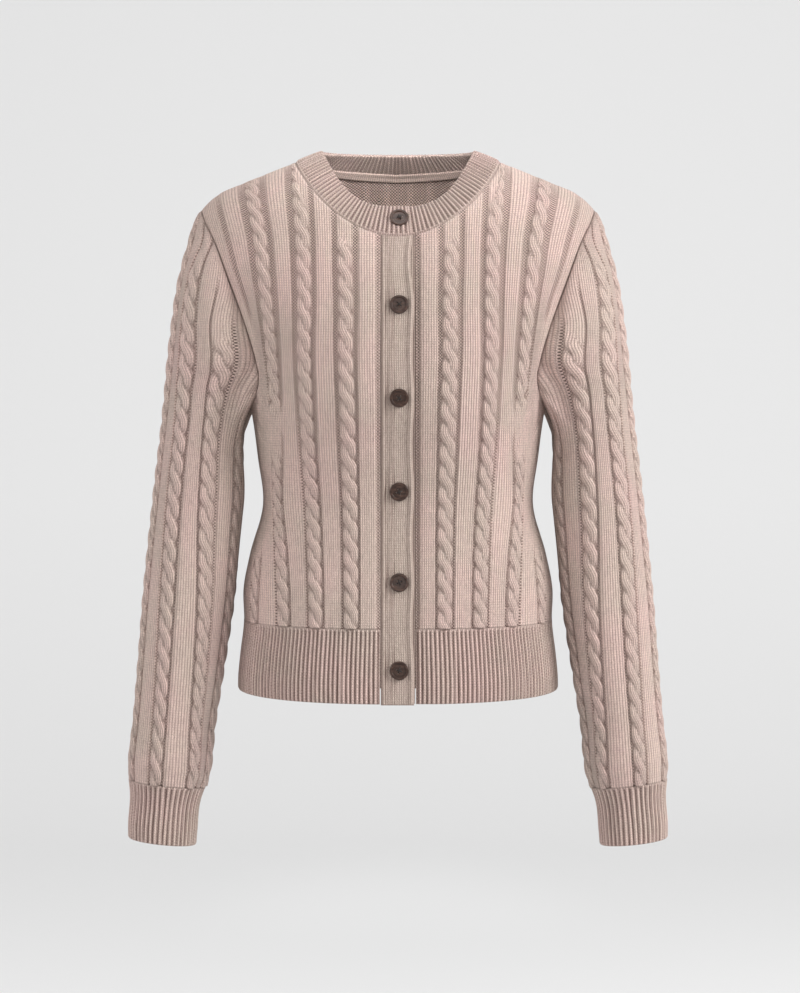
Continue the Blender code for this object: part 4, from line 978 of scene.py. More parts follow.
@dataclass
class BackPanel:
    """The whole back; u is negative on the wearer's left."""

    creases: tuple[Crease, ...]
    cable: CableKnit = CableKnit(
        faded=((7, 90.0, 999.0), (8, 60.0, 999.0)), plain=((7, 80.0, 999.0),),
        tops=((1, 24.0), (3, 24.0), (5, 8.0)))
    split: float = 200.0
    span: float = 290.0
    step: float = 1.65
    neck_columns: tuple[float, ...] = (9.2, 8.0, 7.0, 6.0, 5.0, 4.0, 3.0, 2.2, 1.5, 0.8, 0.0)
    surface: BodySurface = field(default_factory=lambda: BodySurface(False))
    name: str = "back"

    def top(self, u: Array) -> Array:
        """Height along each wale of the shoulder line and the neckline between."""
        surface = self.surface
        x = np.linspace(0, NECK_HALF, 500)
        height = -BACK_DROP * np.maximum(1 - (x / NECK_HALF) ** 2, 0.0) ** (NECK_POWER / 2)
        neck_u = surface.u_of(x, height)
        neck_t = surface.along(neck_u, height)
        u = np.abs(u)
        return np.where(u < neck_u[-1], np.interp(u, neck_u, neck_t),
                        np.interp(u, surface.us, surface.lengths))

    def build(self) -> bpy.types.Object:
        """Makes the panel."""
        surface = self.surface
        height = armhole_heights()
        arm_u = surface.u_of(np.abs(arm_edge(False, height)[:, 0]), height)
        arm_u[0] = BACK_LINES[-1]
        right = np.stack((arm_u, surface.along(arm_u, height)), axis=-1)
        right = np.concatenate((((BACK_LINES[-1], 0.0),), right))
        neck_u = float(surface.u_of(np.array(NECK_HALF), np.array(0.0)))
        half = wale_columns(BACK_LINES, BODY_CHANNEL)
        half = np.sort(np.concatenate((half[half < neck_u - 9.5], half[half > neck_u + 1.0],
                                       neck_u - np.array(self.neck_columns))))
        columns = np.concatenate((-half[:0:-1], half))
        patch = Patch(columns, self.split, self.span, self.top, right, right * (-1, 1), (), step=self.step)
        arm_row = float(patch.to_row(right[1:2, 0], right[1:2, 1])[0])
        patch.stops = (arm_row,)
        u, t, rows = patch.grid()
        base = surface.point(np.abs(u), t)
        base[..., 0] *= np.where(u < 0, -1, 1)
        found = cloth_relief(self.cable, np.abs(u), t, BACK_LINES, np.sign(u), self.top(u) - t, self.creases, u,
                             shoulder_ease(np.interp(np.abs(u), surface.us, surface.lengths) - t))
        low, high = rows <= arm_row + ON_ROW, rows >= arm_row - ON_ROW
        at_neck = np.abs(u[-1]) <= neck_u + ON_ROW
        cuts = [neck_cut(base, "top", at_neck, 0, False), arm_cut(base, "left", high, 1),
                arm_cut(base, "right", high, -1), Cut("left", low, BACKWARD), Cut("right", low, BACKWARD),
                Cut("top", np.abs(u[-1]) >= neck_u - ON_ROW, BACKWARD),
                Cut("bottom", every(u.shape[1]), UPWARD)]
        inner = INNER_WALL + 1.5 * found.purl * smooth((self.top(u) - t - 14) / 8)
        outward = base * LEVEL + SHOULDER_LIFT
        shell = Shell("cloth_back", base, found, t, outward, cuts, inner, 12, 1)
        # painted shade on the inside face, less behind the purl channels
        shell.inner_painted_shade = 0.22 * (1 - smooth(found.purl / 0.6))
        return shell.build()


@dataclass
class Sleeve:
    """One sleeve, a tube that closes at the underarm seam and ends at the armhole."""

    side: Side
    creases: tuple[Crease, ...]
    cable: CableKnit = CableKnit(
        period=20.9, phase=-590.0, widths=((-598.0, 0.7), (-60.0, 0.85)), edge=1.0, ease=12.0,
        faded=((5, -123.0, 99.0), (6, -160.0, 99.0), (7, -245.0, 99.0), (8, -250.0, 99.0)),
        plain=((3, -104.0, 99.0), (5, -181.0, 99.0), (7, -270.0, 99.0)))
    split: float = -150.0
    tip: float = 30.0
    step: float = 1.6

    @property
    def name(self) -> str:
        """Name of the node that the sleeve stands for."""
        return f"sleeve_{self.side.name.lower()}"

    @staticmethod
    def angle(w: Array, level: Array) -> Array:
        """Angle round the sleeve of a wale at a level, in degrees."""
        return np.sign(w) * between_lines(np.abs(w), np.array(SLEEVE_LINES), sleeve_lines(level))

    @staticmethod
    def wale(angle: Array, level: Array) -> Array:
        """Wale at an angle of 0 to 180 degrees."""
        return between_lines(angle, sleeve_lines(level), np.array(SLEEVE_LINES))

    @staticmethod
    def beside_body(w: Array, level: Array) -> Array:
        """Share of the relief's height that is left; it lies flatter where the sleeve hangs by the body."""
        inner = smooth((np.abs(w) - SLEEVE_LINES[7]) / 16)
        return 1 - 0.45 * inner * smooth((level + 420) / 60)

    def build(self) -> bpy.types.Object:
        """Makes the sleeve."""
        hand = self.side.value
        angles = np.concatenate((np.linspace(0, 60, 200), np.linspace(60, 180, 900)[1:]))
        caps = cap_height(angles)
        wales = self.wale(angles, caps)
        wales[-1] = SLEEVE_LINES[-1]
        tip_level = float(np.interp(self.tip, wales, caps))

        def top(w: Array) -> Array:
            """Level of the cap over a wale, flat across its tip."""
            return np.where(np.abs(w) < self.tip, np.interp(np.abs(w), wales, caps), tip_level)

        arm = np.stack((wales, caps), axis=-1)[wales >= self.tip][::-1]
        arm = np.concatenate((((SLEEVE_LINES[-1], CUFF_TOP),), arm, ((self.tip, tip_level),)))
        half = wale_columns(SLEEVE_LINES, SLEEVE_CHANNEL)
        columns = np.concatenate((-half[:0:-1], half))
        patch = Patch(columns, self.split, tip_level - self.split, top, arm, arm * (-1, 1), (ARMPIT,),
                      bottom=CUFF_TOP, step=self.step)
        w, level, rows = patch.grid()
        base = for_side(sleeve_at(self.angle(w, level), level), hand)
        limit = np.interp(np.abs(w), wales, caps)
        found = cloth_relief(self.cable, np.abs(w), level, SLEEVE_LINES, np.sign(w) * -hand, limit - level,
                             self.creases, w)
        found.height = found.height * self.beside_body(w, level)
        low, high = rows <= ARMPIT + ON_ROW, rows >= ARMPIT - ON_ROW
        middle = every(w.shape[1])
        middle[[0, -1]] = False
        cuts = [arm_cut(base, "left", high, hand), arm_cut(base, "right", high, hand),
                arm_cut(base, "top", middle, hand), Cut("left", low, BACKWARD), Cut("right", low, -BACKWARD),
                Cut("bottom", every(w.shape[1]), -arm_axis(hand))]
        outward = from_arm(base, np.minimum(base[..., 2], -60.0), hand)
        return Shell("cloth_" + self.name, base, found, level, outward, cuts, INNER_WALL).build()


def shoulder_ease(left_over: Array) -> Array:
    """Share of the knit's relief that is left near the shoulder seam, where the cloth is pulled smooth."""
    return 0.10 + 0.90 * smooth((left_over - 4.0) / 52.0)


def armhole_heights() -> Array:
    """Heights down the armhole from the armpit to the shoulder tip, close together at its level ends."""
    angles = np.concatenate((np.linspace(180, 60, 1400), np.linspace(60, 0, 500)[1:]))
    return cap_height(angles)


# ---------------------------------------- ribs and bands

@dataclass(frozen=True)
class RibKnit:
    """One-by-one rib: round wales that stand over narrow furrows."""

    high: float = 1.7
    uneven: float = 0.10
    sway: float = 0.05
    sway_length: float = 17.0
    crest: float = 0.60
    seed: int = 5

    def relief(self, place: Array, along: Array, fade: Array, from_seam: Array) -> Relief:
        """Heights of ribs, whose furrows sink in away from the seam.

        Args:
            place: number of ribs from the first, as a fraction.
            along: distance along the ribs.
            fade: share of the height at each node.
            from_seam: distance from the seam.

        Returns:
            The relief.
        """
        draw = np.random.default_rng(self.seed)
        count = int(place.max()) + 3
        size = 1 + self.uneven * draw.standard_normal(count)
        lean = self.sway * draw.standard_normal(count)
        wave = draw.uniform(0, 2 * math.pi, count)
        number = np.clip(np.floor(place + 0.5).astype(int), 0, count - 1)
        x = place - number + lean[number] * np.sin(along / self.sway_length + wave[number])
        crest = (0.5 + 0.5 * np.cos(2 * math.pi * x)) ** self.crest
        crest = 1 - (1 - crest * size[number]) * smooth(from_seam / 3.0)
        # the furrows are purl, and the same share is painted shade in them
        furrow = 1 - smooth(crest / 0.72)
        return Relief(self.high * crest * fade, furrow, (place + 0.25) * 2 * STITCH_WIDTH, furrow)


def rib_rows(depth: float, step: float) -> Array:
    """Places of a rib's rows as shares of its depth, close together at its free edge."""
    return np.concatenate(((0.0, 0.012, 0.03), np.linspace(0.06, 1, int(depth / step))))


def free_edge(down: Array) -> Array:
    """Share of a rib's height at a distance from its free edge."""
    return 0.45 + 0.55 * smooth(down / 1.6)


@dataclass
class HemRib:
    """A length of hem rib; side None is the back, which spans both sides."""

    side: Side | None
    knit: RibKnit = RibKnit()
    pitch: float = HEM_RIB_PITCH
    points_per_rib: int = 6
    row_step: float = 3.0

    @property
    def name(self) -> str:
        """Name of the node that the rib stands for."""
        return "hem_rib_back" if self.side is None else f"hem_rib_front_{self.side.name.lower()}"

    def build(self) -> bpy.types.Object:
        """Makes the rib."""
        front = self.side is not None
        hand = self.side.value if front else 0
        start = float(angle_at(np.array(BAND_HALF), np.array(HEM_TOP))) if front else 0.0
        fine = np.linspace(start, math.pi / 2, 400)
        run = arc_length(body_at(front, fine, np.full_like(fine, HEM_TOP)))
        ribs = 2 * int(round(run[-1] / (2 * self.pitch)))
        count = ribs * self.points_per_rib
        place = np.linspace(0, ribs, count + 1)
        if not front:
            place = np.concatenate((-place[:0:-1], place))
        angle = np.interp(np.abs(place) / ribs * run[-1], run, fine)
        depth = HEM_TOP - HEM_END
        share, angle = np.meshgrid(rib_rows(depth, self.row_step), angle, indexing="ij")
        bottom = HEM_END - HEM_END_DIP * np.cos(angle)
        top = HEM_TOP - HEM_TOP_DIP * np.cos(angle)
        base = body_at(front, angle, bottom + (top - bottom) * share)
        place = np.broadcast_to(place, share.shape)
        if not front:
            base[..., 0] *= np.where(place < 0, -1, 1)
        elif hand > 0:
            base = sink(for_side(base, hand))
        down = share * depth
        fade = free_edge(down)
        ends = np.minimum(ribs - np.abs(place), np.abs(place) if front else 99.0)
        found = self.knit.relief(place - place.min(), down, fade * smooth(ends / 0.5), depth - down)
        into = -BACKWARD if front else BACKWARD
        first = np.array((float(hand), 0, 0)) if front else into
        rows, columns = share.shape
        cuts = [Cut("left", every(rows), first), Cut("right", every(rows), into),
                Cut("top", every(columns), -UPWARD)]
        return Shell("cloth_" + self.name, base, found, down, base * LEVEL, cuts, WALL, 4, 6).build()


@dataclass
class Cuff:
    """One cuff, a ribbed tube."""

    side: Side
    knit: RibKnit = RibKnit(seed=8)
    ribs: int = 44
    points_per_rib: int = 6
    row_step: float = 2.8

    @property
    def name(self) -> str:
        """Name of the node that the cuff stands for."""
        return f"cuff_{self.side.name.lower()}"

    def build(self) -> bpy.types.Object:
        """Makes the cuff."""
        hand = self.side.value
        count = self.ribs * self.points_per_rib
        depth = CUFF_TOP - CUFF_END
        place = np.arange(count) / self.points_per_rib
        share, place = np.meshgrid(rib_rows(depth, self.row_step), place, indexing="ij")
        angle = -180 + 360 * place / self.ribs
        level = CUFF_END + depth * share
        base = for_side(sleeve_at(angle, level), hand)
        down = share * depth
        found = self.knit.relief(place, down, free_edge(down), depth - down)
        outward = from_arm(base, level, hand)
        cuts = [Cut("top", every(count), arm_axis(hand))]
        return Shell("cloth_" + self.name, base, found, down, outward, cuts, WALL, 4, 6, True).build()


@dataclass
class Neckband:
    """The ribbed neckband, which laps at the front."""

    knit: RibKnit = RibKnit(high=1.5, seed=3)
    width: float = 29.0
    points_per_rib: int = 6
    rows: tuple[float, ...] = (
        0.0, 0.05, 0.1, 0.17, 0.26, 0.36, 0.46, 0.56, 0.66, 0.76, 0.85, 0.92, 0.965, 0.985, 1.0)
    name: str = "neckband"

    def build(self) -> bpy.types.Object:
        """Makes the neckband."""
        first = -math.asin((BAND_HALF - 1.5) / NECK_HALF)
        last = 2 * math.pi + math.asin((BAND_HALF - 1.0) / NECK_HALF)
        fine = np.linspace(first, last, 1400)
        run = arc_length(neck_seam(fine))
        ribs = 2 * int(round(run[-1] / (2 * NECK_RIB_PITCH)))
        place = np.linspace(0, ribs, ribs * self.points_per_rib + 1)
        turn = np.interp(place / ribs * run[-1], run, fine)
        share = np.array(self.rows)
        low, high = neck_seam(turn), neck_edge(turn)
        base = low[None] + (high - low)[None] * share[:, None, None]
        place = np.broadcast_to(place, base.shape[:2])
        down = np.broadcast_to(self.width * share[:, None], place.shape)
        fade = smooth(down / 3.5) * (0.5 + 0.5 * smooth((self.width - down) / 1.6))
        ends = np.minimum(place, ribs - place)
        found = self.knit.relief(place, down, fade * smooth(ends / 0.5), down)
        found.height = found.height + 0.5 * np.sin(math.pi * share)[:, None] * smooth(ends / 2)
        from_end = place * NECK_RIB_PITCH
        inner_part = smooth((from_end - 3.0) / 1.6)
        found.height = found.height * inner_part + 1.9 * fade * bell(from_end, 1.5, 1.5)
        mark = bell(base[..., 0], -9.6, 1.5) * bell(base[..., 2], BUTTON_HEIGHTS[0], 0.8)
        # painted shade in the rib furrows and a painted shadow line at the end of the band that lies on top; mark
        # darkens a small spot beside the top button
        found.hollow = np.maximum(found.hollow * inner_part, np.maximum(0.9 * mark, 0.7 * (from_end < 0.5)))
        found.purl = found.purl * inner_part
        _, inward, up = neck_frame(turn)
        cuts = [Cut("bottom", every(len(turn)), up, inward)]
        outward = base + np.array((0, 8, 0))
        outward[..., 2] = 45.0
        inner = self.knit.relief(place + 0.5, down, fade * smooth(ends / 0.5), down)
        shell = Shell("cloth_neckband", base, found, down, outward, cuts, WALL + 0.8 * inner.height, 2, 1)
        # painted shade in the furrows of the inside, which takes 0.30 of the inside look: purl stitches and
        # painted light
        shell.inner_painted_shade = 0.42 * inner.hollow
        shell.inside_purl_and_painted_light = 0.30
        return shell.build()


def arc_length(points: Array) -> Array:
    """Distance along a run of points."""
    return np.concatenate(([0.0], np.cumsum(np.linalg.norm(np.diff(points, axis=0), axis=1))))


def band_edge(height: Array) -> Array:
    """Distance past the middle of the upper band's free edge, which waves between the buttons."""
    stops = np.array(BUTTON_HEIGHTS[::-1])
    i = np.clip(np.searchsorted(stops, height), 1, len(stops) - 1)
    share = np.clip((height - stops[i - 1]) / (stops[i] - stops[i - 1]), 0, 1)
    return BAND_HALF - 1.0 - np.where(i == len(stops) - 1, 3.6, 1.6) * np.sin(math.pi * share) ** 2


@dataclass
class FrontBand:
    """One front band; the wearer's right one lies on top and holds the buttonholes."""

    side: Side
    row_step: float = 2.2
    column_step: float = 0.72
    pull: float = 15.0

    @property
    def ground(self) -> float:
        """Height of the band's knit between its ridges."""
        return 0.5 if self.side is Side.RIGHT else 0.35

    @property
    def name(self) -> str:
        """Name of the node that the band stands for."""
        return "buttonhole_band" if self.side is Side.RIGHT else "button_band"

    def heights(self, u: Array, v: Array) -> tuple[Array, Array]:
        """Height of the band's surface, and the painted shade in its furrows and along its lines."""
        upper = self.side is Side.RIGHT
        height = self.ground
        for place, width, high in UPPER_RIDGES if upper else LOWER_RIDGES:
            height = height + high * bell(u, place, width)
        lines = UPPER_PAINTED_SHADE if upper else LOWER_PAINTED_SHADE
        # lines of painted shade along the band
        hollow = np.max([dark * bell(u, place, width) for place, width, dark in lines], axis=0)
        if not upper:
            return height, hollow
        tight = np.max([bell(v, b, self.pull) for b in BUTTON_HEIGHTS], axis=0)
        for place, depth, wave in BAND_FURROWS:
            middle = place + 0.45 * np.sin(v / 23 + wave) + 0.25 * np.sin(v / 7.1 + 2 * wave)
            strength = (0.55 + 0.75 * tight) * (0.75 + 0.25 * np.sin(v / 13 + 3 * wave))
            shape = bell(u, middle, 0.85)
            height = height - depth * strength * shape
            # painted shade in each furrow
            hollow = np.maximum(hollow, 0.8 * strength * shape)
        return height + 0.22 * np.sin(v / 19 + 0.6) * bell(u, 21, 6), hollow

    def build(self) -> bpy.types.Object:
        """Makes the band."""
        hand = self.side.value
        upper = self.side is Side.RIGHT
        end = HEM_END - HEM_END_DIP - (0.8 if upper else -0.4)
        width = 2 * BAND_HALF
        across = np.linspace(0, width, int(width / self.column_step) + 1)
        rows = int((-NECK_DROP - end) / self.row_step)
        share = np.concatenate(((0.0, 0.003, 0.007), np.linspace(0.011, 1, rows)))
        share, u = np.meshgrid(share, across, indexing="ij")
        top_x = BAND_HALF - u / width * (BAND_HALF + band_edge(np.full_like(u, -NECK_DROP)))
        turn = np.arcsin(-top_x / NECK_HALF) if hand > 0 else np.arcsin(top_x / NECK_HALF)
        turn = np.where(hand > 0, 2 * math.pi + turn, turn)
        top = neck_seam(turn)[..., 2]
        v = end + (top - end) * share
        x = BAND_HALF - u / width * (BAND_HALF + band_edge(v))
        base = body_at(True, angle_at(np.abs(x), v), v)
        base[..., 0] = -x
        if hand > 0:
            base = for_side(base, hand) + np.array((0, LAP, 0))
        height, hollow = self.heights(u, v)
        fade = smooth(u / 1.8) * smooth((top - v) / 3) * (0.4 + 0.6 * smooth((v - end) / 1.5))
        fade = fade * (0.4 + 0.6 * smooth((width - u) / 1.2))
        # painted shade along the band's edges, where its relief fades
        found = Relief(height * fade, np.zeros_like(u), u, np.maximum(hollow, 0.5 * (1 - fade)))
        _, inward, up = neck_frame(turn[-1])
        rows, columns = u.shape
        cuts = [Cut("top", every(columns), -up, inward),
                Cut("left", every(rows), np.array((-float(hand), 0, 0)))]
        outward = np.zeros_like(base) + np.array((0, -1.0, 0))
        return Shell("cloth_" + self.name, base, found, v - end, outward, cuts, WALL, 6, 4).build()


@dataclass
class NeckTape:
    """Narrow tape inside the back neck, over the seam; it starts at `first` half turns from the middle front."""

    deep: float = WALL + 1.0
    thick: float = 1.0
    reach: float = 5.2
    steps: int = 150
    columns: int = 13
    first: float = 0.56
    run: float = 0.88
    name: str = "neck_tape"

    def build(self) -> bpy.types.Object:
        """Makes the tape."""
        turn = math.pi * (self.first + self.run * np.linspace(0, 1, self.steps))
        point, inward, _ = neck_frame(turn)
        edge = unit(neck_edge(turn) - point)
        down = unit(body_below_neck(turn) - point)
        share = np.linspace(-1, 1, self.columns)[:, None, None]
        toward = np.where(share > 0, edge, down) * np.abs(share)
        base = point + toward * self.reach + inward * self.deep
        rounded = np.sqrt(np.maximum(0.0, 1 - share[..., 0] ** 6))
        height = (0.15 + 0.85 * self.thick * rounded) * np.ones(base.shape[:2])
        along = np.broadcast_to(arc_length(point), height.shape)
        # painted shade along the tape's rounded edges
        found = Relief(height, np.zeros_like(height), along, 0.3 * (1 - rounded) * np.ones_like(height))
        rows = np.broadcast_to(share[..., 0] * self.reach, height.shape)
        outward = np.broadcast_to(inward, base.shape)
        depth = -0.1 * np.ones_like(height)
        return Shell("cloth_neck_tape", base, found, rows, outward, [], depth, 2, 3).build()


# ---------------------------------------- buttons

@dataclass
class Button:
    """A four-hole button with a raised rim, sewn on with crossed thread."""

    radius: float = BUTTON_RADIUS
    thick: float = 3.0
    rim: float = 2.2
    step: float = 0.45
    well: float = 0.95
    well_runs: tuple[float, ...] = (1.2, 1.6)
    back_run: float = 1.4
    edge_round: float = 0.75
    step_round: float = 0.35
    hole: float = 0.95
    ring: float = 2.3
    strand: float = 0.27
    strand_shift: float = 0.28
    strand_level: float = 2.1
    gap: float = 0.45
    on_ribs: float = 1.3
    on_band: float = 0.9

    def model(self) -> bpy.types.Object:
        """Models one button at the origin, its face up, in metres."""
        deselect()
        bpy.ops.mesh.primitive_cylinder_add(vertices=72, radius=self.radius * MM, depth=self.thick * MM,
                                            location=(0, 0, self.thick / 2 * MM))
        obj = bpy.context.object
        obj.name = "button_model"
        edit(obj)
        select(obj, Element.FACE, lambda c, n: n.z > 0.9)
        bpy.ops.mesh.inset(thickness=self.rim * MM)
        bpy.ops.mesh.inset(thickness=self.step * MM)
        bpy.ops.transform.translate(value=(0, 0, -self.well * MM))
        for run in self.well_runs:
            bpy.ops.mesh.inset(thickness=run * MM)
        select(obj, Element.FACE, lambda c, n: n.z < -0.9)
        bpy.ops.mesh.inset(thickness=self.back_run * MM)
        select(obj, Element.EDGE, lambda a, b: ring_edge(a, b, 8.5, math.inf))
        bpy.ops.mesh.bevel(offset=self.edge_round * MM, segments=5, profile=0.5)
        select(obj, Element.EDGE, lambda a, b: a.z > 1.5 * MM and ring_edge(a, b, 5.5, 7.4))
        bpy.ops.mesh.bevel(offset=self.step_round * MM, segments=3, profile=0.5)
        bpy.ops.object.mode_set(mode="OBJECT")
        self.drill(obj)
        deselect()
        obj.select_set(True)
        bpy.context.view_layer.objects.active = obj
        bpy.ops.object.shade_smooth_by_angle(angle=math.radians(32))
        return obj

    def drill(self, obj: bpy.types.Object) -> None:
        """Cuts the four thread holes."""
        for k in range(4):
            a = math.pi / 4 + k * math.pi / 2
            deselect()
            bpy.ops.mesh.primitive_cylinder_add(vertices=20, radius=self.hole * MM, depth=12 * MM, location=(
                self.ring * math.cos(a) * MM, self.ring * math.sin(a) * MM, 0))
            rod = bpy.context.object
            cut = obj.modifiers.new("hole", "BOOLEAN")
            cut.operation = "DIFFERENCE"
            cut.object = rod
            bpy.context.view_layer.objects.active = obj
            bpy.ops.object.modifier_apply(modifier=cut.name)
            bpy.data.objects.remove(rod, do_unlink=True)

    def thread(self) -> bpy.types.Object:
        """Two bars of thread between the holes, with the strands' ends in them."""
        parts = []
        for turn in (math.pi / 4, -math.pi / 4):
            for offset in (-self.strand_shift, self.strand_shift):
                deselect()
                bpy.ops.mesh.primitive_cylinder_add(
                    vertices=10, radius=self.strand * MM, depth=2 * self.ring * MM, end_fill_type="NGON",
                    rotation=(math.pi / 2, 0, turn),
                    location=(offset * math.cos(turn) * MM, offset * math.sin(turn) * MM, self.strand_level * MM))
                bar = bpy.context.object
                edit(bar)
                select(bar, Element.FACE, lambda c, n: c.xy.length > 2.0 * MM)
                for _ in range(2):
                    bpy.ops.mesh.extrude_region_move(TRANSFORM_OT_translate={"value": (0, 0, -0.5 * MM)})
                bpy.ops.object.mode_set(mode="OBJECT")
                parts.append(bar)
        deselect()
        for bar in parts:
            bar.select_set(True)
        bpy.context.view_layer.objects.active = parts[0]
        bpy.ops.object.join()
        bpy.ops.object.transform_apply(location=True, rotation=True, scale=True)
        parts[0].name = "thread_model"
        bpy.ops.object.shade_smooth()
        return parts[0]

    def seat(self, height: float) -> tuple[Array, Array]:
        """Point and outward direction of the cloth under a button."""
        middle = np.array(0.0)
        if height > -NECK_DROP:
            low, high = neck_seam(middle), neck_edge(middle)
            point = low + (high - low) * (height - low[2]) / (high[2] - low[2])
            proud = self.on_ribs
        else:
            low, point, high = (body_at(True, middle, np.array(height + step)) for step in (-6, 0, 6))
            proud = self.on_band
        slope = unit(high - low)
        outward = np.array((0.0, -slope[2], slope[1]))
        return point + outward * (proud + self.gap) + np.array((BUTTON_SHIFT, 0, 0)), outward

    def place(self, model: bpy.types.Object, name: str, height: float, turn: float) -> bpy.types.Object:
        """Puts a copy of a model where a button sits, its place in its mesh."""
        point, outward = self.seat(height)
        obj = link(name, model.data.copy())
        spin = Vector((0, 0, 1)).rotation_difference(Vector(outward)).to_matrix().to_4x4()
        obj.data.transform(Matrix.Translation(Vector(point) * MM) @ spin @ Matrix.Rotation(turn, 4, "Z"))
        return obj


def deselect() -> None:
    """Selects nothing."""
    bpy.ops.object.select_all(action="DESELECT")


def edit(obj: bpy.types.Object) -> None:
    """Opens an object in edit mode with nothing of it selected."""
    bpy.context.view_layer.objects.active = obj
    bpy.ops.object.mode_set(mode="EDIT")
    bpy.ops.mesh.select_all(action="DESELECT")


class Element(Enum):
    """Kinds of mesh element that are selected."""

    FACE = "FACE"
    EDGE = "EDGE"


def select(obj: bpy.types.Object, kind: Element, wanted: Callable[[Vector, Vector], bool]) -> None:
    """Selects part of the open mesh: faces by centre and normal, or edges by their two ends."""
    bpy.ops.mesh.select_mode(type=kind.value)
    bm = bmesh.from_edit_mesh(obj.data)
    for part in (*bm.verts, *bm.edges, *bm.faces):
        part.select = False
    if kind is Element.FACE:
        for face in bm.faces:
            face.select = wanted(face.calc_center_median(), face.normal)
    else:
        for edge in bm.edges:
            edge.select = wanted(edge.verts[0].co, edge.verts[1].co)
    bm.select_flush_mode()
    bmesh.update_edit_mesh(obj.data)


def ring_edge(a: Vector, b: Vector, low: float, high: float) -> bool:
    """Whether an edge is level and its ends lie between two distances from the axis, in millimetres."""
    return abs(a.z - b.z) < 1e-6 and low * MM < min(a.xy.length, b.xy.length) < high * MM


def link(name: str, data: bpy.types.ID) -> bpy.types.Object:
    """Makes an object of some data and adds it to the scene."""
    obj = bpy.data.objects.new(name, data)
    bpy.context.scene.collection.objects.link(obj)
    return obj


# ---------------------------------------- finishes

Number = float | int


class Value:
    """A shader socket that does maths with operators."""

    def __init__(self, graph: "Graph", socket: bpy.types.NodeSocket) -> None:
        """Wraps one output of a node."""
        self.graph = graph
        self.socket = socket

    def __add__(self, other: "Value | Number") -> "Value":
        """Sum."""
        return self.graph.maths("ADD", self, other)

    def __radd__(self, other: Number) -> "Value":
        """Sum."""
        return self.graph.maths("ADD", other, self)

    def __sub__(self, other: "Value | Number") -> "Value":
        """Difference."""
        return self.graph.maths("SUBTRACT", self, other)

    def __rsub__(self, other: Number) -> "Value":
        """Difference."""
        return self.graph.maths("SUBTRACT", other, self)

    def __mul__(self, other: "Value | Number") -> "Value":
        """Product."""
        return self.graph.maths("MULTIPLY", self, other)

    def __rmul__(self, other: Number) -> "Value":
        """Product."""
        return self.graph.maths("MULTIPLY", other, self)

    def __truediv__(self, other: "Value | Number") -> "Value":
        """Quotient."""
        return self.graph.maths("DIVIDE", self, other)

    def __pow__(self, other: Number) -> "Value":
        """Power."""
        return self.graph.maths("POWER", self, other)

    def wave(self) -> "Value":
        """Cosine of a number of turns."""
        return self.graph.maths("COSINE", self * (2 * math.pi))


class Graph:
    """Builds the node tree of one material."""

    def __init__(self, name: str) -> None:
        """Makes a material with its Principled shader."""
        self.material = bpy.data.materials.new(name)
        self.material.use_nodes = True
        self.tree = self.material.node_tree
        self.shader = self.tree.nodes["Principled BSDF"]

    def node(self, kind: str, output: int | str = 0, settings: dict[str, Any] | None = None,
             **inputs: Any) -> Value:
        """Adds a node.

        Args:
            kind: the node's type.
            output: which of its outputs is returned.
            settings: properties of the node.
            **inputs: values or sockets, by the input's name with underscores, or i and its number.

        Returns:
            The output.
        """
        made = self.tree.nodes.new(kind)
        for key, value in (settings or {}).items():
            setattr(made, key, value)
        for key, value in inputs.items():
            place = int(key[1:]) if key[0] == "i" and key[1:].isdigit() else key.replace("_", " ")
            self.feed(made.inputs[place], value)
        return Value(self, made.outputs[output])

    def feed(self, socket: bpy.types.NodeSocket, value: Any) -> None:
        """Links or sets an input."""
        if isinstance(value, Value):
            self.tree.links.new(value.socket, socket)
        else:
            socket.default_value = value

    def maths(self, operation: str, first: Value | Number, second: Value | Number = 0.0) -> Value:
        """One step of maths."""
        return self.node("ShaderNodeMath", 0, {"operation": operation}, i0=first, i1=second)

    def step(self, value: Value, low: float, high: float) -> Value:
        """Smooth step between two values."""
        return self.node("ShaderNodeMapRange", 0, {"interpolation_type": "SMOOTHSTEP"}, Value=value,
                         From_Min=low, From_Max=high)

    def mix(self, share: Value | Number, first: Any, second: Any) -> Value:
        """Mix of two colours."""
        made = self.tree.nodes.new("ShaderNodeMix")
        made.data_type = "RGBA"
        for place, value in ((0, share), (6, first), (7, second)):
            self.feed(made.inputs[place], value)
        return Value(self, made.outputs[2])

    def noise(self, place: Value, scale: float, detail: float = 2.0) -> Value:
        """Noise around 0.5."""
        return self.node("ShaderNodeTexNoise", 0, Vector=place, Scale=scale, Detail=detail)

    def attribute(self, name: str) -> Value:
        """A number stored on the mesh."""
        return self.node("ShaderNodeAttribute", 2, {"attribute_name": name})

    def split(self, vector: Value) -> tuple[Value, Value]:
        """First two components of a vector."""
        made = self.tree.nodes.new("ShaderNodeSeparateXYZ")
        self.feed(made.inputs[0], vector)
        return Value(self, made.outputs[0]), Value(self, made.outputs[1])

    def stretched(self, place: Value, scale: tuple[float, float, float]) -> Value:
        """A place with each axis scaled."""
        return self.node("ShaderNodeMapping", 0, None, Vector=place, Scale=scale)

    def scaled(self, colour: Any, light: Value) -> Value:
        """A colour made lighter or darker."""
        return self.node("ShaderNodeVectorMath", 0, {"operation": "SCALE"}, Vector=colour, Scale=light)

    def surface(self, **inputs: Any) -> None:
        """Feeds the Principled shader."""
        for key, value in inputs.items():
            self.feed(self.shader.inputs[key.replace("_", " ")], value)


Colour = tuple[float, float, float, float]
WHITE: Colour = (1.0, 1.0, 1.0, 1.0)


# turns in a metre of the noises that mottle the yarn, from the widest to the finest
PATCHES, STREAKS, FIBRES, FLECKS, FUZZ = 17, 90, 520, 950, 2600


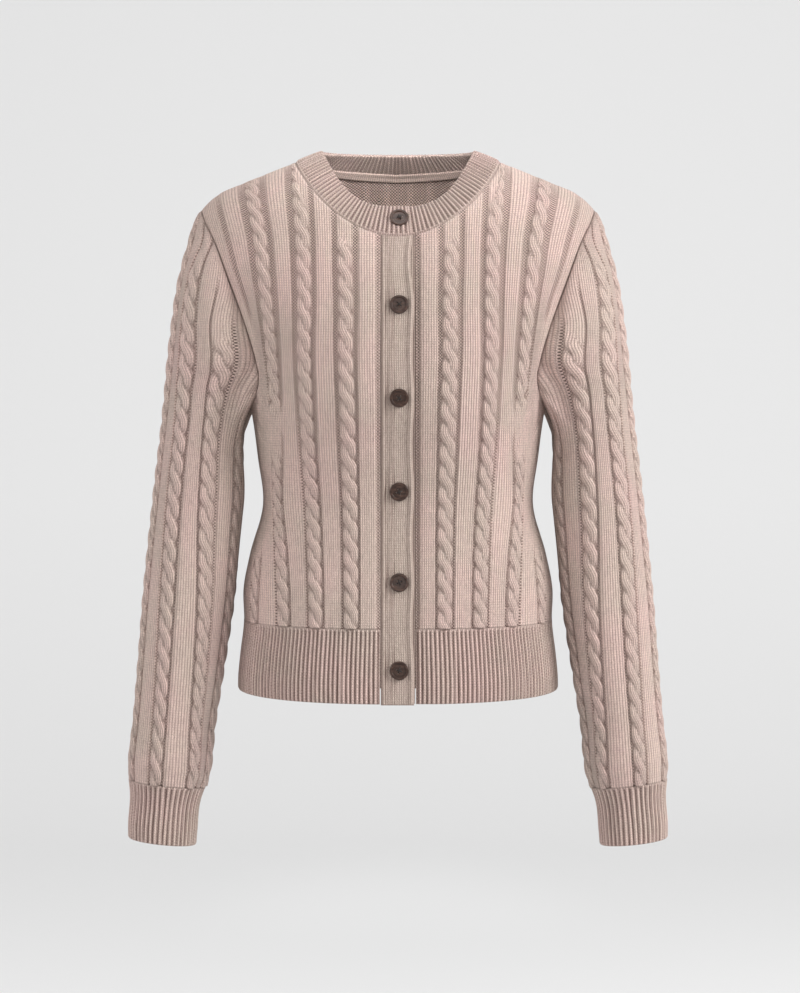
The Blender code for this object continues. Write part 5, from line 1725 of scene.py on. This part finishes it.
@dataclass(frozen=True)
class Yarn:
    """Soft mottled yarn, knitted, with painted shade and painted light; colours are linear."""

    name: str
    pink: Colour = (0.618, 0.445, 0.404, 1.0)
    grey: Colour = (0.556, 0.438, 0.379, 1.0)
    # colour of the painted shade, mixed in by the hollow attribute times shade
    dark: Colour = (0.115, 0.066, 0.054, 1.0)
    # a lighter colour on the inside faces, painted light
    inner: Colour = (0.66, 0.500, 0.440, 1.0)
    shade: float = 0.80
    relief: float = 1.0

    def make(self) -> bpy.types.Material:
        """Makes the material."""
        g = Graph(self.name)
        place = g.node("ShaderNodeTexCoord", "Object")
        stitches = g.node("ShaderNodeUVMap", 0, {"uv_map": "stitches"})
        across, along = g.split(stitches)
        wale = across / (UV_PER_MM * STITCH_WIDTH)
        course = along / (UV_PER_MM * STITCH_HEIGHT)
        purl, hollow, inside = (g.attribute(n) for n in ("purl", "hollow", "inside"))
        ground = self.jersey(g, wale, course)
        bumps = self.purl(g, wale, course)
        back = g.maths("MAXIMUM", purl, inside)
        stitch = ground + (bumps - ground) * back
        height = stitch + g.noise(place, FUZZ, 3.0) * 0.45
        bump = g.node("ShaderNodeBump", 0, None, Strength=1.0, Distance=self.relief * MM, Height=height)
        stretched = g.stretched(place, (1.0, 1.0, 0.22))
        patches = g.step(g.noise(place, PATCHES) * 0.75 + g.noise(stretched, STREAKS) * 0.25, 0.32, 0.70)
        colour = g.mix(patches, self.grey, self.pink)
        flecks = g.noise(place, FLECKS) * 0.7 + g.noise(stretched, FIBRES) * 0.3
        light = g.step(flecks, 0.34, 0.66) * 0.36 + 0.82
        # painted shade in the grooves between stitches and between purl bumps, painted highlight on their crests
        plain_painted_shading = 0.66 + 0.46 * g.step(ground, 0.10, 0.80)
        purl_painted_shading = 0.20 + 1.04 * g.step(bumps, 0.30, 0.70)
        light = light * (plain_painted_shading + (purl_painted_shading - plain_painted_shading) * back)
        # inside faces painted lighter: painted light
        colour = g.mix(inside * 0.75, colour, self.inner)
        colour = g.scaled(colour, light)
        # painted shade in furrows, creases and seams
        colour = g.mix(hollow * self.shade, colour, self.dark)
        g.surface(Base_Color=colour, Roughness=0.92, Normal=bump, Sheen_Weight=0.28, Sheen_Roughness=0.45,
                  Sheen_Tint=(1.0, 0.86, 0.80, 1.0), Specular_IOR_Level=0.15)
        return g.material

    @staticmethod
    def jersey(g: Graph, wale: Value, course: Value) -> Value:
        """Height of knit stitches: a row of V shapes in each wale, with a groove between wales."""
        across = g.maths("ABSOLUTE", g.maths("FRACT", wale) - 0.5) * 2.0
        return (1.0 - across * across) * (0.72 + 0.28 * (course + across * 0.55).wave())

    @staticmethod
    def purl(g: Graph, wale: Value, course: Value) -> Value:
        """Height of purl stitches: staggered bumps."""
        return 0.5 + 0.5 * (course * 0.78).wave() * (wale * 0.78 + 0.1).wave()


YARNS = (
    Yarn("knit"),
    Yarn("knit_rib", shade=0.90),
    # the band's copy of the yarn is darker: painted shade
    Yarn("band_jersey", pink=(0.445, 0.350, 0.305, 1.0), grey=(0.425, 0.342, 0.292, 1.0), relief=0.6),
    Yarn("tape", pink=(0.60, 0.455, 0.405, 1.0), grey=(0.57, 0.445, 0.385, 1.0), relief=0.15),
    # the neckband's copy is darker outside, painted shade, and much lighter inside, painted light
    Yarn("knit_neck_painted_shade_and_light", pink=(0.500, 0.366, 0.330, 1.0), grey=(0.455, 0.358, 0.310, 1.0),
         inner=(0.95, 0.73, 0.65, 1.0), shade=0.90))


@dataclass(frozen=True)
class Horn:
    """Dark brown satin resin with faint streaks."""

    name: str = "horn"
    base: Colour = (0.036, 0.019, 0.014, 1.0)
    streak: Colour = (0.075, 0.041, 0.030, 1.0)

    def make(self) -> bpy.types.Material:
        """Makes the material."""
        g = Graph(self.name)
        place = g.node("ShaderNodeTexCoord", "Object")
        stretched = g.stretched(place, (0.35, 1.0, 1.0))
        streaks = g.step(g.noise(stretched, 420, 3.0), 0.42, 0.70)
        worn = g.noise(place, 900, 2.0)
        g.surface(Base_Color=g.mix(streaks, self.base, self.streak), Roughness=0.24 + 0.12 * worn,
                  Specular_IOR_Level=0.30)
        return g.material


@dataclass(frozen=True)
class Thread:
    """Plain sewing thread."""

    name: str = "thread"
    colour: Colour = (0.012, 0.008, 0.007, 1.0)

    def make(self) -> bpy.types.Material:
        """Makes the material."""
        g = Graph(self.name)
        fibre = g.noise(g.node("ShaderNodeTexCoord", "Object"), 3800, 2.0)
        g.surface(Base_Color=g.scaled(self.colour[:3], 0.7 + 0.6 * fibre), Roughness=0.8)
        return g.material


# ---------------------------------------- studio

Place = tuple[float, float, float]


@dataclass(frozen=True)
class Lamp:
    """A soft square light: where it stands, what it aims at, its size in metres and its watts."""

    name: str
    at: Place
    aim: Place
    size: float
    power: float

    def build(self) -> None:
        """Adds the light."""
        data = bpy.data.lights.new(self.name, "AREA")
        data.size = self.size
        data.energy = self.power
        aim_light(link(self.name, data), self.at, self.aim)


@dataclass(frozen=True)
class InsideLamp:
    """A narrow soft light that reaches over the front of the neck to the inside of the back."""

    at: Place = (0.0, -0.9, 0.55)
    aim: Place = (0.0, 0.07, 0.0)
    power: float = 78
    degrees: float = 13
    size: float = 0.1

    def build(self) -> None:
        """Adds the light."""
        data = bpy.data.lights.new("inside", "SPOT")
        data.energy = self.power
        data.spot_size = math.radians(self.degrees)
        data.spot_blend = 1.0
        data.shadow_soft_size = self.size
        aim_light(link("inside", data), self.at, self.aim)


def aim_light(obj: bpy.types.Object, at: Place, aim: Place) -> None:
    """Stands a light at a place, turned to another."""
    obj.location = at
    obj.rotation_euler = (Vector(aim) - Vector(at)).to_track_quat("-Z", "Y").to_euler()


@dataclass
class Studio:
    """Pale sweep, soft lights and the camera; lengths are in metres."""

    floor: float = -1.02
    back: float = 3.4
    bend: float = 0.7
    half_width: float = 4.0
    height: float = 3.5
    grey: Colour = (0.45, 0.45, 0.45, 1.0)
    glow: float = 0.375
    sky: float = 0.31
    camera_at: Place = (0.00194, -2.6, -0.3235)
    lens: float = 97.17
    lamps: tuple[Lamp | InsideLamp, ...] = (
        Lamp("key", (2.5, -1.2, 0.9), (0.0, 0.0, -0.25), 1.2, 100),
        Lamp("fill", (-2.5, -1.1, 0.6), (0.0, 0.0, -0.3), 1.4, 38),
        Lamp("front", (0.3, -3.2, 0.9), (0.0, 0.0, -0.3), 2.4, 25),
        Lamp("top", (0.1, -0.75, 2.0), (0.0, 0.0, -0.1), 0.9, 18), InsideLamp())

    def build(self) -> None:
        """Makes everything that isn't the garment."""
        self.sweep()
        for lamp in self.lamps:
            lamp.build()
        world = bpy.data.worlds.new("studio")
        world.use_nodes = True
        sky = world.node_tree.nodes["Background"]
        sky.inputs[0].default_value = WHITE
        sky.inputs[1].default_value = self.sky
        bpy.context.scene.world = world
        bpy.context.scene.view_settings.view_transform = "Standard"
        self.camera()

    def sweep(self) -> None:
        """Makes the floor, which curves up into the backdrop."""
        bend = self.bend
        profile = [(-self.half_width, self.floor), (self.back - bend, self.floor)]
        profile += [(self.back - bend + bend * math.sin(a), self.floor + bend * (1 - math.cos(a)))
                    for a in np.linspace(0, math.pi / 2, 24)[1:]]
        profile.append((self.back, self.height))
        verts = [(x, y, z) for x in (-self.half_width, self.half_width) for y, z in profile]
        n = len(profile)
        mesh = bpy.data.meshes.new("sweep")
        mesh.from_pydata(verts, [], [(k, n + k, n + k + 1, k + 1) for k in range(n - 1)])
        mesh.shade_smooth()
        g = Graph("sweep")
        g.surface(Base_Color=self.grey, Roughness=0.95, Emission_Color=WHITE, Emission_Strength=self.glow)
        mesh.materials.append(g.material)
        link("sweep", mesh)

    def camera(self) -> None:
        """Adds the camera, level and square to the buttoned front."""
        data = bpy.data.cameras.new("camera")
        data.sensor_width = 36.0
        data.lens = self.lens
        obj = link("camera", data)
        obj.location = self.camera_at
        obj.rotation_euler = (math.pi / 2, 0, 0)
        bpy.context.scene.camera = obj


# ---------------------------------------- the cardigan

@dataclass(frozen=True)
class CutSize:
    """What a piece of cloth was knitted to: width, length and area of it laid flat, in metres."""

    width: float
    length: float
    area: float


FRONT_CUT = CutSize(0.188, 0.537, 0.0725)
SLEEVE_CUT = CutSize(0.319, 0.620, 0.1353)
CUFF_CUT = CutSize(0.228, 0.057, 0.01165)
HEM_FRONT_CUT = CutSize(0.195, 0.070, 0.01316)
BAND_CUT = CutSize(0.031, 0.445, 0.0133)
CUTS = {
    "front_right": FRONT_CUT, "front_left": FRONT_CUT, "back": CutSize(0.482, 0.504, 0.1647),
    "sleeve_right": SLEEVE_CUT, "sleeve_left": SLEEVE_CUT, "cuff_right": CUFF_CUT, "cuff_left": CUFF_CUT,
    "hem_rib_front_right": HEM_FRONT_CUT, "hem_rib_front_left": HEM_FRONT_CUT,
    "hem_rib_back": CutSize(0.417, 0.070, 0.0282), "neckband": CutSize(0.635, 0.0345, 0.0159),
    "buttonhole_band": BAND_CUT, "button_band": BAND_CUT, "neck_tape": CutSize(0.234, 0.0105, 0.00227),
}


def crease_rows(*rows: tuple[float, ...]) -> tuple[Crease, ...]:
    """Creases from rows of place across and along, turn, length, width and depth."""
    return tuple(Crease(*row) for row in rows)


RIGHT_CREASES = crease_rows(
    (114, 213, 40, 21, 2.6, 1.7), (127, 210, 45, 17, 2.4, 1.4), (139, 182, 42, 15, 2.4, 1.2),
    (104, 169, 30, 8, 2.0, 0.9), (146, 214, 38, 12, 2.2, 1.0), (148, 150, 35, 16, 3.0, 0.9),
    (150, 60, 28, 24, 3.4, 0.8))
LEFT_CREASES = crease_rows(
    (112, 218, 38, 19, 2.6, 1.6), (126, 206, 47, 18, 2.4, 1.4), (140, 186, 40, 14, 2.4, 1.3),
    (103, 174, 32, 9, 2.0, 1.0), (147, 157, 33, 17, 3.0, 0.9), (149, 66, 30, 22, 3.4, 0.8))
BACK_CREASES = crease_rows(
    (138, 212, 44, 20, 2.8, 1.5), (-136, 208, -42, 21, 2.8, 1.6), (126, 190, 38, 16, 2.6, 1.2),
    (-124, 193, -40, 15, 2.6, 1.2), (146, 150, 30, 20, 3.2, 1.0), (-148, 154, -32, 19, 3.2, 1.0),
    (2, 70, 82, 60, 6.0, 0.8), (-30, 105, 76, 50, 6.0, 0.6))
SLEEVE_CREASES = crease_rows(
    (108, -228, 26, 26, 3.0, 1.5), (-108, -232, -28, 24, 3.0, 1.4), (122, -262, 34, 22, 2.8, 1.3),
    (-122, -258, -30, 22, 2.8, 1.3), (10, -596, 80, 30, 4.0, 0.8), (-60, -588, 84, 34, 4.0, 0.8),
    (88, -592, -82, 32, 4.0, 0.8))


@dataclass
class Cardigan:
    """The whole garment: builds its pieces in order and dresses them."""

    button: Button = field(default_factory=Button)
    button_turn: float = 0.5
    seed: int = 11

    def build(self) -> None:
        """Makes, dresses and reports each piece."""
        knit, rib, jersey, tape, neck = (yarn.make() for yarn in YARNS)
        self.dress(FrontPanel(Side.RIGHT, RIGHT_CREASES), knit)
        self.dress(FrontPanel(Side.LEFT, LEFT_CREASES), knit)
        self.dress(BackPanel(BACK_CREASES), knit)
        for side in Side:
            self.dress(Sleeve(side, SLEEVE_CREASES), knit)
            self.dress(Cuff(side), rib)
            self.dress(HemRib(side), rib)
            self.dress(FrontBand(side), jersey)
        self.dress(HemRib(None), rib)
        self.dress(Neckband(), neck)
        self.dress(NeckTape(), tape)
        self.buttons()

    def dress(self, part: Any, material: bpy.types.Material) -> None:
        obj = part.build()
        obj.data.materials.append(material)
        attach(obj, "root")
        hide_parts(part.name)
        cut = CUTS[part.name]
        LOG.info("%s: %d faces", obj.name, len(obj.data.polygons))

    def buttons(self) -> None:
        """Makes the six buttons and their thread."""
        button = self.button
        model, thread = button.model(), button.thread()
        horn, fibre = Horn().make(), Thread().make()
        draw = np.random.default_rng(self.seed)
        for number, height in enumerate(BUTTON_HEIGHTS, start=1):
            turn = float(draw.uniform(-self.button_turn, self.button_turn))
            obj = button.place(model, f"horn_button_{number}", height, turn)
            obj.data.materials.clear()
            obj.data.materials.append(horn)
            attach(obj, "root")
            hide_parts(f"button_{number}")
            sewn = button.place(thread, f"thread_{number}", height, turn)
            sewn.data.materials.clear()
            sewn.data.materials.append(fibre)
            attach(sewn, "root")
            LOG.info("%s: %d faces", obj.name, len(obj.data.polygons))
        for spent in (model, thread):
            bpy.data.objects.remove(spent, do_unlink=True)


def main() -> None:
    """Builds the garment and the studio."""
    logging.basicConfig(level=logging.INFO, format="%(name)s: %(message)s")
    Cardigan().build()
    Studio().build()


if __name__ == "__main__":
    main()
